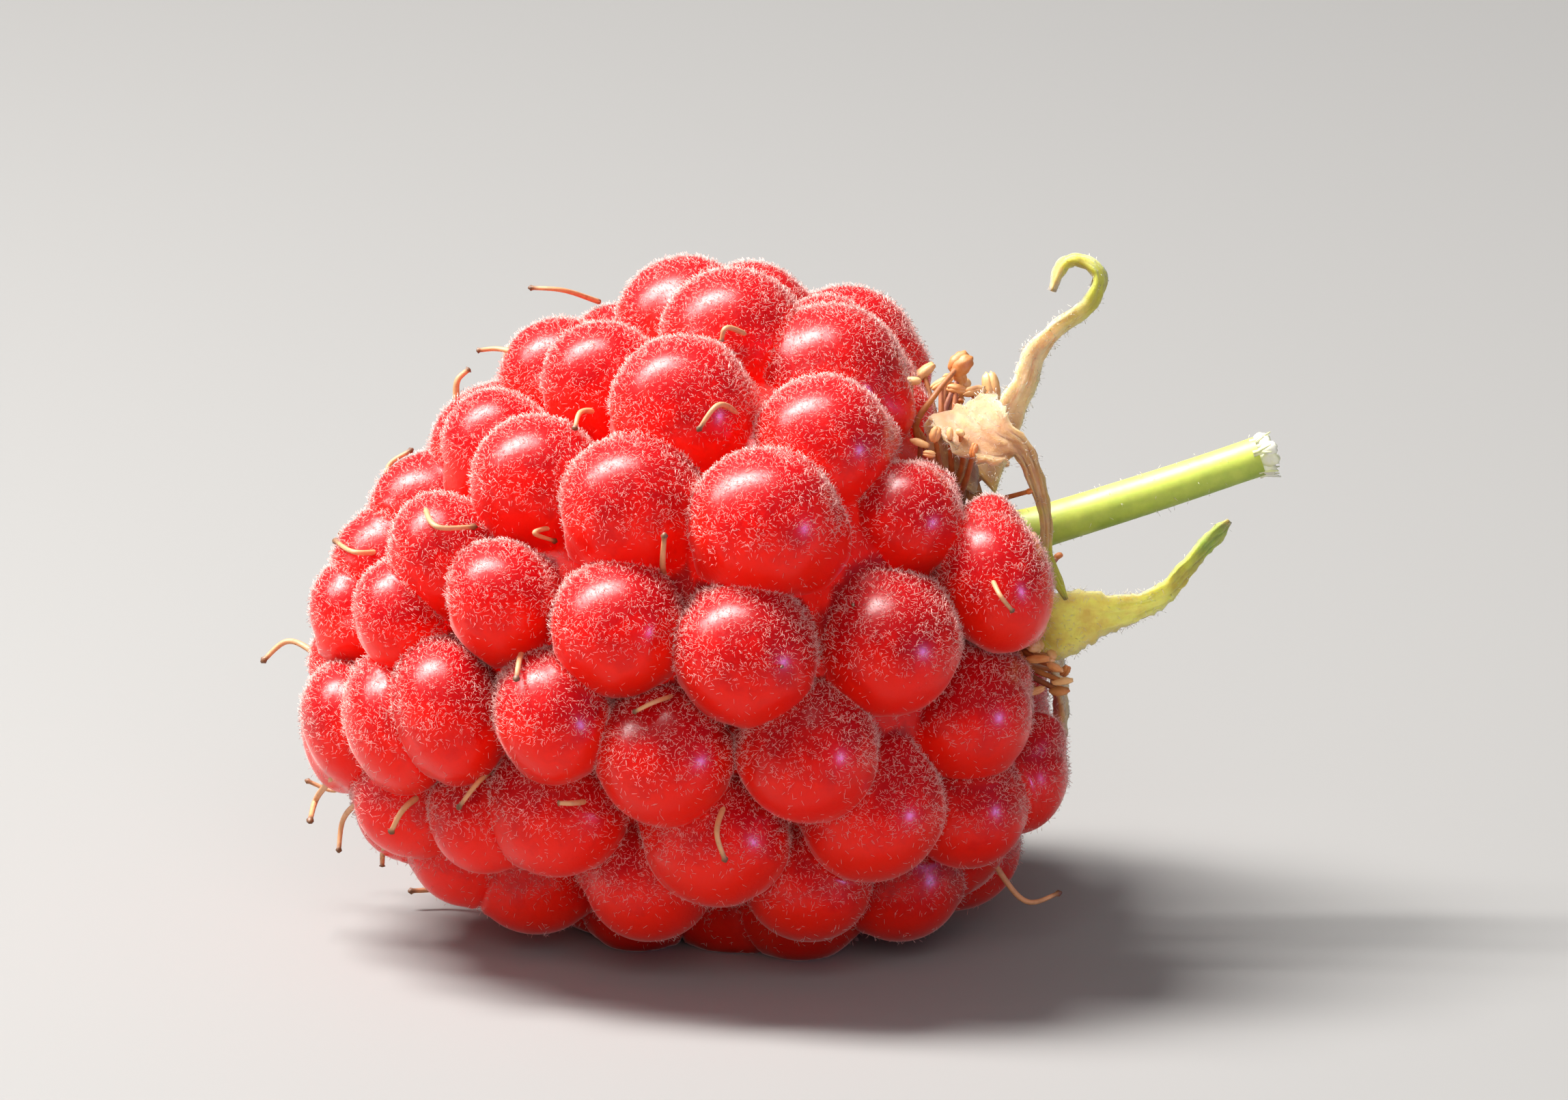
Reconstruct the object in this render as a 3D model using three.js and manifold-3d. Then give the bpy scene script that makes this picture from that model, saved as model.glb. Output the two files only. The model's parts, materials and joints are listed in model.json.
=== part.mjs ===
// A ripe raspberry, picked with its stalk, lying on its side.
//
// Millimetres, +Z up. The origin is on the ground, in the middle of the flat spot under the lowest
// drupelet. The berry is worked out in a frame of its own: x runs along its axis from the tip to the
// calyx, -y is its front and z its top. berryToPart then leans and rolls it into place.

import * as THREE from "three";
import * as BufferGeometryUtils from "three/addons/utils/BufferGeometryUtils.js";
import Module from "manifold-3d";

const wasm = await Module();
wasm.setup();

// ---- How the berry lies
const TIP = new THREE.Vector3(-11.4, 1.0, 5.37);
const LEAN = THREE.MathUtils.degToRad(16.3);
const ROLL = THREE.MathUtils.degToRad(-16.7);

// ---- The berry's egg-shaped outline: half its width, and where it is widest
const HALF_WIDTH = 9.55;
const WIDEST_AT = 12.8;
const TIP_POWER = 1.55;
const CALYX_POWER = 2.3;
const CALYX_REACH = 7.3;
const OUTLINE_STEP = 0.05;
const OUTLINE_END = 20.1;

// ---- Drupelets on the front: along the axis, up from it and radius. Those that stand proud of the
// outline or deeper also have how far from the axis their centre lies, and those squeezed against
// the tip or the calyx how narrow they are along the axis for their height
const FRONT_DRUPELETS = [
  [18.8, -1.1, 1.93, 5.0, 0.76], [17.0, 1.2, 1.47, 5.6], [15.5, 3.7, 1.82, 6.6],
  [16.2, 5.3, 2.01, 6.1], [17.0, -4.2, 1.77, 5.7], [15.6, -1.9, 1.86, 6.8], [13.4, 2.15, 1.98],
  [12.2, 5.7, 1.91], [14.0, 7.1, 1.89], [11.9, -1.0, 1.88], [12.7, -3.95, 1.86],
  [13.9, -5.9, 1.92], [16.3, -6.6, 1.62, 7.2], [10.2, 3.6, 1.91], [8.9, 0.65, 1.79],
  [9.05, -2.95, 1.82], [9.8, -5.35, 1.91], [7.95, 4.95, 1.75], [6.15, 2.25, 1.62, 6.0, 0.88],
  [6.55, -1.1, 1.78, 6.1, 0.86], [5.95, -3.4, 1.86], [5.0, 3.85, 1.7, 5.35, 0.82],
  [3.95, -0.15, 1.97, 4.45, 0.75], [7.2, 6.25, 1.45], [10.35, 7.0, 1.6],
  [2.2, 3.05, 1.38, 3.05, 0.8], [1.3, 0.25, 1.75, 0.8, 0.7], [3.4, 2.6, 1.55, 4.35, 0.75],
  [2.5, -0.1, 1.85, 3.1, 0.72], [2.4, -2.05, 1.62], [17.65, -6.15, 1.57, 6.3],
  [11.75, -7.15, 1.72], [14.05, -7.85, 1.75, 7.87], [4.1, -3.1, 1.52], [7.75, -5.85, 1.76],
  [4.95, -5.15, 1.82],
];

// ---- Drupelets just over the top and bottom edge, in the same form, and those underneath that the
// berry lies on
const EDGE_DRUPELETS = [
  [16.8, 5.7, 1.93, 6.2], [12.9, 7.8, 1.85, 7.8], [9.35, 7.45, 1.62, 7.5], [10.95, 7.45, 1.5],
  [14.5, 7.2, 1.82], [4.95, 5.05, 1.57], [15.7, -7.5, 1.75, 7.8], [3.4, -3.8, 1.62],
  [16.8, 4.6, 1.55, 4.7], [4.25, 4.3, 1.3], [16.3, 6.2, 1.35, 6.2],
];
const RESTING_DRUPELETS = [
  [9.8, -6.9, 1.92], [13.0, -6.8, 1.92], [6.7, -5.3, 1.86], [10.0, -5.5, 1.9],
  [7.3, -6.35, 1.55],
];

// ---- Drupelets on the hidden side fill what is left, by rule: each is the roomiest of some draws,
// kept the more often the wider the berry is there, and then they settle against each other
const DRUPELET_COUNT = 85;
const DRAWS_EACH = 80;
const HIDDEN_FROM = 2.2;
const HIDDEN_SPAN = 15.3;
const HIDDEN_DEPTH = 0.4;
const FULL_WIDTH_OUT = 7.8;
const LEAST_KEPT = 0.1;
const SETTLE_ROUNDS = 150;
const SETTLE_REACH = 1.12;
const SETTLE_PUSH = 0.35;
const SETTLE_DEPTH = 0.3;
const CALYX_EDGE = 16.9;
const CALYX_EDGE_SLOPE = 0.12;

// ---- Their radius grows from the tip to the body and shrinks again near the calyx
const TIP_RADIUS = 1.42;
const TIP_ENDS = 1.5;
const BODY_RADIUS = 1.92;
const BODY_STARTS = 8.0;
const CALYX_STARTS = 15;
const CALYX_SHRINK = 0.083;
const RADIUS_SPREAD = 0.05;

// ---- Deep between their neighbours they bulge, as a share of the radius. They are round where a
// direction's share outward passes these values
const SWELL = 0.15;
const CROWN_FROM = -0.45;
const CROWN_TO = 0.15;
const LEAN_TO_ENDS = 0.35;

// ---- The core that the drupelets stand out of
const CORE_DEPTH = 1.05;
const CORE_FROM = 2.4;
const CORE_TO = 18.2;
const CORE_END_RADIUS = 2.5;
const CORE_END_SLOPE = 1.9;
const CORE_SIDES = 22;
const CORE_STEPS = 12;

// ---- Dried styles: points along, up and lifted off the skin, from the root to the knob
const STYLE_RADIUS = 0.1;
const KNOB_RADIUS = 0.16;
const STYLE_SINK = 0.35;
const FRONT_STYLES = [
  [[13.8, -1.8], [13.9, -0.9], [12.7, -1.6]], [[11.4, 1.9], [10.5, 1.9], [10.8, 2.7]],
  [[15.5, 0.4], [15.2, 0.1], [15.0, -0.6]], [[10.4, -4.4], [9.8, -5.3], [9.8, -6.1]],
  [[9.9, -1.5], [9.2, -1.5], [8.6, -1.6]], [[7.0, 0.7], [6.2, 0.7], [5.9, 0.1]],
  [[8.2, 3.7], [7.5, 3.7], [8.0, 3.3]], [[10.2, 6.2], [9.6, 6.4], [9.3, 6.0]],
  [[13.8, 4.7], [13.1, 5.5], [12.4, 5.0]], [[14.6, 6.9], [13.9, 7.4], [13.7, 7.1]],
  [[4.9, 5.4], [5.1, 4.6], [6.1, 4.3]], [[10.9, 9.1], [10.0, 9.7], [9.2, 10.0]],
  [[8.3, 8.5], [7.9, 8.7], [7.4, 8.8]], [[6.5, 7.7], [6.7, 8.2], [7.1, 8.4]],
  [[3.5, 4.4], [2.8, 4.6], [2.3, 5.1]], [[2.7, -2.0], [2.0, -2.3], [1.5, -2.8]],
  [[4.8, -1.9], [4.1, -2.2], [3.4, -2.7]], [[0.5, -0.9], [-0.2, -1.4], [-0.5, -1.9]],
  [[1.0, -1.7], [0.3, -2.2], [0.0, -2.9]], [[1.4, -2.9], [1.1, -3.3], [1.0, -3.6]],
  [[6.8, -3.5], [6.3, -3.4], [6.0, -3.3]], [[18.7, -0.9], [18.8, -1.5], [19.0, -2.0]],
];
const STYLE_LIFTS = [-STYLE_SINK, 0.55, 0.45];
const STYLE_SIDES = 3;
const STYLE_STEPS = 4;
const GROUND_CLEAR = 0.25;

// ---- The rule for styles on the hidden side: length, and shares of the length or the radius
const HIDDEN_STYLE_LENGTH = 1.9;
const LENGTH_SPREAD = 0.2;
const ROOT_OUT = 0.8;
const ROOT_ASIDE = 0.5;
const MIDDLE_OUT = 0.55;
const MIDDLE_ASIDE = 0.25;
const HOOK_ASIDE = 0.45;
const HOOK_OUT = 0.05;
const HOOK_TURN = 1.2;

// ---- Calyx: a thin disc behind the berry, with five sepals bent back from its rim. Each sepal has
// its spine from rim to tip, its width at each of those points, and the way its width runs, also
// from rim to tip.
const DISC_FROM = 18.74;
const DISC_TO = 19.16;
const DISC_RADIUS = 2.55;
const SEPAL_THICK = 0.62;
const SEPALS = [
  {
    spine: [[19.1, 0.9, 2.0], [19.9, 1.3, 2.5], [21.1, 1.5, 3.7], [21.65, 1.6, 4.4],
      [22.4, 1.6, 4.85], [23.45, 1.6, 5.25], [23.85, 1.6, 5.95], [23.4, 1.6, 6.45],
      [22.95, 1.55, 6.4], [22.5, 1.45, 5.85]],
    widths: [1.9, 1.3, 0.75, 0.7, 0.65, 0.6, 0.6, 0.6, 0.6, 0.6],
    across: [[0.85, 0.3, -0.5], [0.1, 1, 0]],
  },
  {
    spine: [[19.1, -1.5, 1.9], [18.95, -2.3, 3.2], [19.3, -3.0, 3.85], [19.55, -3.8, 3.2],
      [19.95, -4.1, 2.6], [20.45, -4.15, 2.15], [20.6, -3.9, 1.3], [20.55, -3.3, 0.15],
      [20.3, -2.85, -0.95], [20.45, -2.7, -2.1]],
    widths: [2.2, 2.1, 1.8, 1.95, 1.6, 0.8, 0.6, 0.6, 0.6, 0.6],
    across: [[0, 0.8, 0.6], [0.7, 0.5, 0.4], [1, 0.1, 0.1], [1, 0, 0.2], [0.8, 0, 0.55],
      [0.9, 0, 0.4], [1, 0.1, 0], [1, 0.2, 0], [1, 0.2, 0], [1, 0.2, 0]],
  },
  {
    spine: [[19.1, -1.3, -2.0], [19.9, -1.7, -2.55], [20.7, -1.9, -2.6], [21.5, -1.9, -2.75],
      [22.3, -1.9, -2.8], [22.95, -1.9, -2.7], [23.55, -1.85, -2.35], [24.25, -1.8, -1.9],
      [24.85, -1.75, -1.55], [25.2, -1.7, -1.35]],
    widths: [2.0, 2.1, 1.7, 1.1, 0.75, 0.65, 0.6, 0.6, 0.6, 0.6],
    across: [[0, -0.4, 0.9], [0, -0.6, 0.8]],
  },
  {
    spine: [[19.1, 1.1, -2.0], [19.6, 1.9, -3.1], [19.6, 2.5, -4.3], [19.3, 2.9, -5.4],
      [18.8, 3.1, -6.3]],
    widths: [2.0, 1.8, 1.3, 0.8, 0.6],
    across: [[0.2, 1, 0.3], [0.2, 1, 0.3]],
  },
  {
    spine: [[19.1, 2.2, -0.2], [19.6, 3.2, -0.3], [19.85, 4.4, -0.4], [19.7, 5.6, -0.4],
      [19.2, 6.6, -0.2]],
    widths: [2.0, 1.8, 1.4, 0.9, 0.6],
    across: [[0, -0.2, 1], [0, -0.1, 1]],
  },
];
const SEPAL_STEPS = 14;
const SEPAL_CELLS = 2;
const SEPAL_CUP = 0.16;
const RAGGED = 0.12;
const RAGGED_FROM = 0.25;

// ---- Stamens: a thin ring between berry and calyx, with dried filaments and their anthers
const RING_FROM = 18.28;
const RING_TO = 18.56;
const RING_RADIUS = 2.75;
const STAMEN_DRAWS = 150;
const STAMEN_COUNT = 36;
const STAMEN_CLEAR = 0.05;
const ANTHER_OUT = 3.9;
const ANTHER_OUT_SPREAD = 1.1;
const ANTHER_FORWARD = -0.2;
const ANTHER_FORWARD_SPREAD = 1.9;
const KNEE_FORWARD = 0.3;
const KNEE_LIFT = 0.1;
const FILAMENT_RADIUS = 0.11;
const FILAMENT_SINK = 0.3;
const ANTHER_LENGTH = 0.36;
const ANTHER_RADIUS = 0.22;
const ANTHER_TURN = 3;

// ---- Stalk, cut off square
const STALK_POINTS = [[19.3, 0, -0.05], [20.8, 0, -0.06], [24.0, 0, -0.03], [27.1, 0, 0.06]];
const STALK_RADIUS = 0.58;
const STALK_TAPER = 0.065;
const STALK_COLLAR = 0.3;
const COLLAR_FADE = 14;
const STALK_FLARE = 0.07;
const FLARE_FADE = 20;
const STALK_SIDES = 12;
const STALK_STEPS = 10;

const BALL_DETAIL = 2;
const DISC_SIDES = 20;
const FACET_TOLERANCE = 0.07;

const berryToPart = new THREE.Matrix4()
  .makeTranslation(TIP.x, TIP.y, TIP.z)
  .multiply(new THREE.Matrix4().makeRotationY(-LEAN))
  .multiply(new THREE.Matrix4().makeRotationX(ROLL));

// A repeatable draw between 0 and 1 for each number k.
function draw(k) {
  const value = Math.sin(k * 12.9898 + 4.1414) * 43758.5453;
  return value - Math.floor(value);
}

const point = (values) => new THREE.Vector3(...values);

// A closed geometry, in the berry's frame, as a solid in the part's frame.
function solid(geometry) {
  const bare = geometry.clone().applyMatrix4(berryToPart);
  bare.deleteAttribute("normal");
  bare.deleteAttribute("uv");
  const merged = BufferGeometryUtils.mergeVertices(bare, 1e-4);
  return new wasm.Manifold(new wasm.Mesh({
    numProp: 3,
    vertProperties: new Float32Array(merged.attributes.position.array),
    triVerts: new Uint32Array(merged.index.array),
  }));
}

// A solid without the small sealed gaps between the pieces fused in it.
function outerSkin(fused) {
  return fused.decompose().reduce((best, one) => (one.volume() > best.volume() ? one : best));
}

// A solid with its smallest facets merged.
function thinned(fused) {
  return fused.asOriginal().simplify(FACET_TOLERANCE);
}

// A closed round bar along a curve, with its radius given along it.
function bar(curve, radiusAt, sides, steps) {
  const geometry = new THREE.CylinderGeometry(1, 1, 1, sides, steps);
  const frames = curve.computeFrenetFrames(steps, false);
  const position = geometry.attributes.position;
  for (let i = 0; i < position.count; i += 1) {
    const step = Math.round((position.getY(i) + 0.5) * steps);
    const radius = radiusAt(step / steps);
    const place = curve.getPointAt(step / steps)
      .addScaledVector(frames.normals[step], position.getX(i) * radius)
      .addScaledVector(frames.binormals[step], -position.getZ(i) * radius);
    position.setXYZ(i, place.x, place.y, place.z);
  }
  return geometry;
}

// A straight bar along the berry's axis.
function axisBar(from, to, radiusAt, sides, steps) {
  const line = new THREE.LineCurve3(new THREE.Vector3(from, 0, 0), new THREE.Vector3(to, 0, 0));
  return bar(line, radiusAt, sides, steps);
}

// The way a drupelet grows out of the berry, leaning a little to the nearer end.
function outwardOf(centre) {
  const outward = new THREE.Vector3(0, centre.y, centre.z).normalize();
  outward.x = (LEAN_TO_ENDS * (centre.x - WIDEST_AT)) / WIDEST_AT;
  return outward.normalize();
}

// A drupelet bulges deep between its neighbours, and may be narrower along the axis.
function ball({ centre, radius, narrow }) {
  const geometry = new THREE.IcosahedronGeometry(1, BALL_DETAIL);
  const outward = outwardOf(centre);
  const position = geometry.getAttribute("position");
  const place = new THREE.Vector3();
  for (let i = 0; i < position.count; i += 1) {
    place.fromBufferAttribute(position, i);
    const crown = THREE.MathUtils.smoothstep(place.dot(outward), CROWN_FROM, CROWN_TO);
    place.multiplyScalar(radius * (1 + SWELL * (1 - crown)));
    position.setXYZ(i, place.x, place.y, place.z);
  }
  return geometry.scale(narrow, 1, 1).translate(centre.x, centre.y, centre.z);
}

// ---- Where the drupelets sit

function outline(along) {
  const offset = along - WIDEST_AT;
  const share = offset < 0
    ? (-offset / WIDEST_AT) ** TIP_POWER
    : (offset / CALYX_REACH) ** CALYX_POWER;
  return HALF_WIDTH * Math.sqrt(Math.max(0, 1 - share));
}

// How far from the axis a ball's centre lies when the ball touches the outline from inside.
function centreOut(along, radius) {
  let out = HALF_WIDTH;
  for (let i = 0; i * OUTLINE_STEP <= OUTLINE_END; i += 1) {
    const offset = i * OUTLINE_STEP - along;
    if (Math.abs(offset) < radius) {
      out = Math.min(out, outline(i * OUTLINE_STEP) - Math.sqrt(radius * radius - offset * offset));
    }
  }
  return Math.max(0, out);
}

function measuredDrupelet([along, up, radius, out = centreOut(along, radius), narrow = 1], side) {
  const height = THREE.MathUtils.clamp(up, -out, out);
  const depth = Math.sqrt(Math.max(0, out * out - height * height));
  const centre = new THREE.Vector3(along, side * depth, height);
  return { centre, radius, narrow, hidden: false };
}

function hiddenRadius(along, k) {
  const grow = THREE.MathUtils.clamp((along - TIP_ENDS) / (BODY_STARTS - TIP_ENDS), 0, 1);
  const shrink = CALYX_SHRINK * Math.max(0, along - CALYX_STARTS);
  const size = TIP_RADIUS + (BODY_RADIUS - TIP_RADIUS) * grow - shrink;
  return size * (1 + RADIUS_SPREAD * (2 * draw(k + 0.75) - 1));
}

// The draw that stands furthest from the drupelets so far, for its size.
function roomiestDraw(drupelets, first) {
  let best = null;
  for (let k = first; k < first + DRAWS_EACH; k += 1) {
    const along = HIDDEN_FROM + HIDDEN_SPAN * draw(k);
    const radius = hiddenRadius(along, k);
    const out = centreOut(along, radius);
    const turn = 2 * Math.PI * draw(k + 0.5);
    const centre = new THREE.Vector3(along, -out * Math.cos(turn), out * Math.sin(turn));
    if (draw(k + 0.25) > out / FULL_WIDTH_OUT + LEAST_KEPT || centre.y < HIDDEN_DEPTH) {
      continue;
    }
    const shares = drupelets.map((one) => centre.distanceTo(one.centre) / (radius + one.radius));
    const room = Math.min(...shares);
    if (best === null || room > best.room) {
      best = { centre, radius, narrow: 1, room, hidden: true };
    }
  }
  return best;
}

// Neighbours push each other apart along the berry's surface.
function settle(drupelets) {
  for (const one of drupelets) {
    if (!one.hidden) {
      continue;
    }
    const push = new THREE.Vector3();
    for (const other of drupelets) {
      const apart = one.centre.distanceTo(other.centre);
      const reach = (one.radius + other.radius) * SETTLE_REACH;
      if (other !== one && apart < reach) {
        push.addScaledVector(one.centre.clone().sub(other.centre), (reach - apart) / (reach * apart));
      }
    }
    const moved = one.centre.clone().addScaledVector(push, SETTLE_PUSH);
    const edge = CALYX_EDGE - CALYX_EDGE_SLOPE * moved.z;
    const along = THREE.MathUtils.clamp(moved.x, HIDDEN_FROM, edge);
    const y = Math.max(moved.y, SETTLE_DEPTH);
    const share = centreOut(along, one.radius) / Math.hypot(y, moved.z);
    one.centre.set(along, y * share, moved.z * share);
  }
}

function placeDrupelets() {
  const drupelets = [
    ...FRONT_DRUPELETS.map((row) => measuredDrupelet(row, -1)),
    ...EDGE_DRUPELETS.map((row) => measuredDrupelet(row, 1)),
    ...RESTING_DRUPELETS.map((row) => measuredDrupelet(row, 1)),
  ];
  for (let turn = 0; drupelets.length < DRUPELET_COUNT; turn += 1) {
    drupelets.push(roomiestDraw(drupelets, 1 + turn * DRAWS_EACH));
  }
  for (let round = 0; round < SETTLE_ROUNDS; round += 1) {
    settle(drupelets);
  }
  return drupelets;
}

// ---- Styles

// The skin's point nearest the front at a place along and up, or level with the nearest drupelet's
// middle where that place is beside the berry, moved lift towards the front.
function frontPoint(drupelets, [along, up], lift) {
  let y = Infinity;
  let nearest = null;
  for (const { centre, radius, narrow } of drupelets) {
    const aside = Math.hypot((along - centre.x) / narrow, up - centre.z);
    if (aside < radius) {
      y = Math.min(y, centre.y - Math.sqrt(radius * radius - aside * aside));
    }
    if (nearest === null || aside - radius < nearest.gap) {
      nearest = { gap: aside - radius, y: centre.y };
    }
  }
  return new THREE.Vector3(along, y === Infinity ? nearest.y : y - lift, up);
}

function style(points) {
  const curve = new THREE.CatmullRomCurve3(points);
  const radiusAt = (t) => (t < 1 ? STYLE_RADIUS : KNOB_RADIUS);
  return bar(curve, radiusAt, STYLE_SIDES, STYLE_STEPS);
}

// A style on a hidden drupelet rises beside its middle and hooks over.
function hiddenStyle({ centre, radius }, k) {
  const outward = outwardOf(centre);
  const turn = 2 * Math.PI * draw(k + 0.3);
  const aside = new THREE.Vector3(Math.cos(turn), 0, Math.sin(turn));
  aside.projectOnPlane(outward).normalize();
  const hook = aside.clone().applyAxisAngle(outward, HOOK_TURN * (draw(k + 0.6) - 0.5));
  const length = HIDDEN_STYLE_LENGTH * (1 + LENGTH_SPREAD * (2 * draw(k + 0.9) - 1));
  const root = centre.clone()
    .addScaledVector(outward, ROOT_OUT * radius)
    .addScaledVector(aside, ROOT_ASIDE * radius);
  const middle = root.clone()
    .addScaledVector(outward, MIDDLE_OUT * length)
    .addScaledVector(aside, MIDDLE_ASIDE * length);
  const knob = middle.clone()
    .addScaledVector(hook, HOOK_ASIDE * length)
    .addScaledVector(outward, HOOK_OUT * length);
  return [root.addScaledVector(outward, -STYLE_SINK), middle, knob];
}

function isAboveGround(points) {
  return points.every((place) => place.clone().applyMatrix4(berryToPart).z > GROUND_CLEAR);
}

// ---- Nodes

function buildCore() {
  const radiusAt = (t) => {
    const along = THREE.MathUtils.lerp(CORE_FROM, CORE_TO, t);
    const end = CORE_END_RADIUS + CORE_END_SLOPE * (CORE_TO - along);
    return Math.min(outline(along) - CORE_DEPTH, end);
  };
  return solid(axisBar(CORE_FROM, CORE_TO, radiusAt, CORE_SIDES, CORE_STEPS));
}

function buildDrupelets(drupelets) {
  const balls = drupelets.map((one) => solid(ball(one)));
  const frontStyle = (rows) => rows.map((row, i) => frontPoint(drupelets, row, STYLE_LIFTS[i]));
  const front = FRONT_STYLES.map(frontStyle);
  const back = drupelets.filter((one) => one.hidden).map(hiddenStyle);
  const styles = [...front, ...back].filter(isAboveGround).map((points) => solid(style(points)));
  const fused = wasm.Manifold.union([buildCore(), ...balls, ...styles]);
  return outerSkin(thinned(fused)).trimByPlane([0, 0, 1], 0);
}

function sampleRow(values, t) {
  const place = t * (values.length - 1);
  const index = Math.min(Math.floor(place), values.length - 2);
  return THREE.MathUtils.lerp(values[index], values[index + 1], place - index);
}

// A blade along a spine: two like grids of points, SEPAL_THICK apart, closed round the edge.
function sepal({ spine, widths, across }, k) {
  const curve = new THREE.CatmullRomCurve3(spine.map(point));
  const acrossCurve = new THREE.CatmullRomCurve3(across.map(point));
  const faces = [[], []];
  for (let step = 0; step <= SEPAL_STEPS; step += 1) {
    const t = step / SEPAL_STEPS;
    const tangent = curve.getTangent(t);
    const side = acrossCurve.getPoint(t).projectOnPlane(tangent).normalize();
    const normal = tangent.clone().cross(side).normalize();
    const fray = RAGGED * (2 * draw(31 * k + step) - 1) * Math.min(1, t / RAGGED_FROM);
    const half = 0.5 * sampleRow(widths, t) * (1 + fray);
    for (let cell = 0; cell <= SEPAL_CELLS; cell += 1) {
      const offset = (2 * cell) / SEPAL_CELLS - 1;
      const middle = curve.getPoint(t)
        .addScaledVector(side, offset * half)
        .addScaledVector(normal, SEPAL_CUP * half * offset * offset);
      faces[0].push(middle.clone().addScaledVector(normal, 0.5 * SEPAL_THICK));
      faces[1].push(middle.clone().addScaledVector(normal, -0.5 * SEPAL_THICK));
    }
  }
  return closedBlade(faces[0], faces[1], SEPAL_STEPS, SEPAL_CELLS);
}

function closedBlade(upper, lower, steps, cells) {
  const across = cells + 1;
  const lowerFrom = upper.length;
  const index = [];
  const quad = (a, b, c, d) => index.push(a, b, c, a, c, d);
  for (let step = 0; step < steps; step += 1) {
    for (let cell = 0; cell < cells; cell += 1) {
      const a = step * across + cell;
      quad(a, a + across, a + across + 1, a + 1);
      const b = lowerFrom + a;
      index.push(b, b + across + 1, b + across, b, b + 1, b + across + 1);
    }
    const left = step * across;
    const right = left + cells;
    quad(left, lowerFrom + left, lowerFrom + left + across, left + across);
    quad(right, right + across, lowerFrom + right + across, lowerFrom + right);
  }
  for (let cell = 0; cell < cells; cell += 1) {
    const last = steps * across + cell;
    quad(cell, cell + 1, lowerFrom + cell + 1, lowerFrom + cell);
    quad(last, lowerFrom + last, lowerFrom + last + 1, last + 1);
  }
  const geometry = new THREE.BufferGeometry().setFromPoints([...upper, ...lower]);
  geometry.setIndex(index);
  return geometry;
}

function buildCalyx() {
  const disc = solid(axisBar(DISC_FROM, DISC_TO, () => DISC_RADIUS, DISC_SIDES, 1));
  const sepals = SEPALS.map((row, k) => solid(sepal(row, k)));
  return thinned(wasm.Manifold.union([disc, ...sepals]));
}

// A filament from the ring's rim out past the calyx, with its anther across its end.
function stamen(k) {
  const turn = 2 * Math.PI * draw(k + 0.1);
  const place = (along, out) => new THREE.Vector3(along, -out * Math.cos(turn), out * Math.sin(turn));
  const ring = 0.5 * (RING_FROM + RING_TO);
  const reach = ANTHER_OUT + ANTHER_OUT_SPREAD * draw(k + 0.4);
  const forward = ANTHER_FORWARD + ANTHER_FORWARD_SPREAD * draw(k + 0.7);
  const root = place(ring, RING_RADIUS - FILAMENT_SINK);
  const kneeOut = 0.5 * (RING_RADIUS + reach) + KNEE_LIFT;
  const knee = place(ring + KNEE_LIFT + KNEE_FORWARD * forward, kneeOut);
  const end = place(ring + forward, reach);
  const curve = new THREE.CatmullRomCurve3([root, knee, end]);
  const filament = solid(bar(curve, () => FILAMENT_RADIUS, 3, 3));
  const anther = new THREE.OctahedronGeometry(1, 0)
    .scale(ANTHER_LENGTH, ANTHER_RADIUS, ANTHER_RADIUS)
    .rotateZ(ANTHER_TURN * draw(k + 0.8))
    .rotateX(ANTHER_TURN * draw(k + 0.2))
    .translate(end.x, end.y, end.z);
  return filament.add(solid(anther));
}

function buildStamens(neighbours) {
  const ring = solid(axisBar(RING_FROM, RING_TO, () => RING_RADIUS, DISC_SIDES, 1));
  const stamens = [];
  for (let k = 1; k <= STAMEN_DRAWS && stamens.length < STAMEN_COUNT; k += 1) {
    const one = stamen(k);
    if (neighbours.every((neighbour) => neighbour.minGap(one, 1) > STAMEN_CLEAR)) {
      stamens.push(one);
    }
  }
  return outerSkin(thinned(wasm.Manifold.union([ring, ...stamens])));
}

function buildStalk() {
  const curve = new THREE.CatmullRomCurve3(STALK_POINTS.map(point));
  const collar = (t) => STALK_COLLAR * Math.exp(-t * COLLAR_FADE);
  const flare = (t) => STALK_FLARE * Math.exp((t - 1) * FLARE_FADE);
  const radiusAt = (t) => STALK_RADIUS - STALK_TAPER * t + collar(t) + flare(t);
  return solid(bar(curve, radiusAt, STALK_SIDES, STALK_STEPS));
}

// ---- The raspberry

function mesh(name, manifold, material) {
  const { vertProperties, triVerts } = manifold.getMesh();
  const geometry = new THREE.BufferGeometry();
  geometry.setAttribute("position", new THREE.BufferAttribute(vertProperties, 3));
  geometry.setIndex(new THREE.BufferAttribute(triVerts, 1));
  geometry.computeVertexNormals();
  const finish = new THREE.MeshStandardMaterial({ metalness: 0, ...material });
  const result = new THREE.Mesh(geometry, finish);
  result.name = name;
  return result;
}

const drupeletSolid = buildDrupelets(placeDrupelets());
const calyxSolid = buildCalyx();
const stalkSolid = buildStalk();
const stamenSolid = buildStamens([drupeletSolid, calyxSolid, stalkSolid]);

const raspberry = new THREE.Group();
raspberry.add(mesh("drupelets", drupeletSolid, { color: 0xc3141c, roughness: 0.45 }));
raspberry.add(mesh("stamens", stamenSolid, { color: 0xa4602a, roughness: 0.7 }));
raspberry.add(mesh("calyx", calyxSolid, { color: 0xd9cf94, roughness: 0.75 }));
raspberry.add(mesh("stalk", stalkSolid, { color: 0xbcd25a, roughness: 0.55 }));

export default raspberry;
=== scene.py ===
"""A ripe raspberry, picked with its stalk, lying on its side in a small studio.

The drupelets are pressed together in one skin and covered in fine pale down. Most of them keep
their dried style. Behind them come the stamens, five withered sepals and the stalk.
"""

import json
import math

import bmesh
import bpy
import numpy as np
from bpy.props import FloatProperty, FloatVectorProperty, IntProperty, PointerProperty
from mathutils import Matrix, Vector
from mathutils.bvhtree import BVHTree

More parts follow.
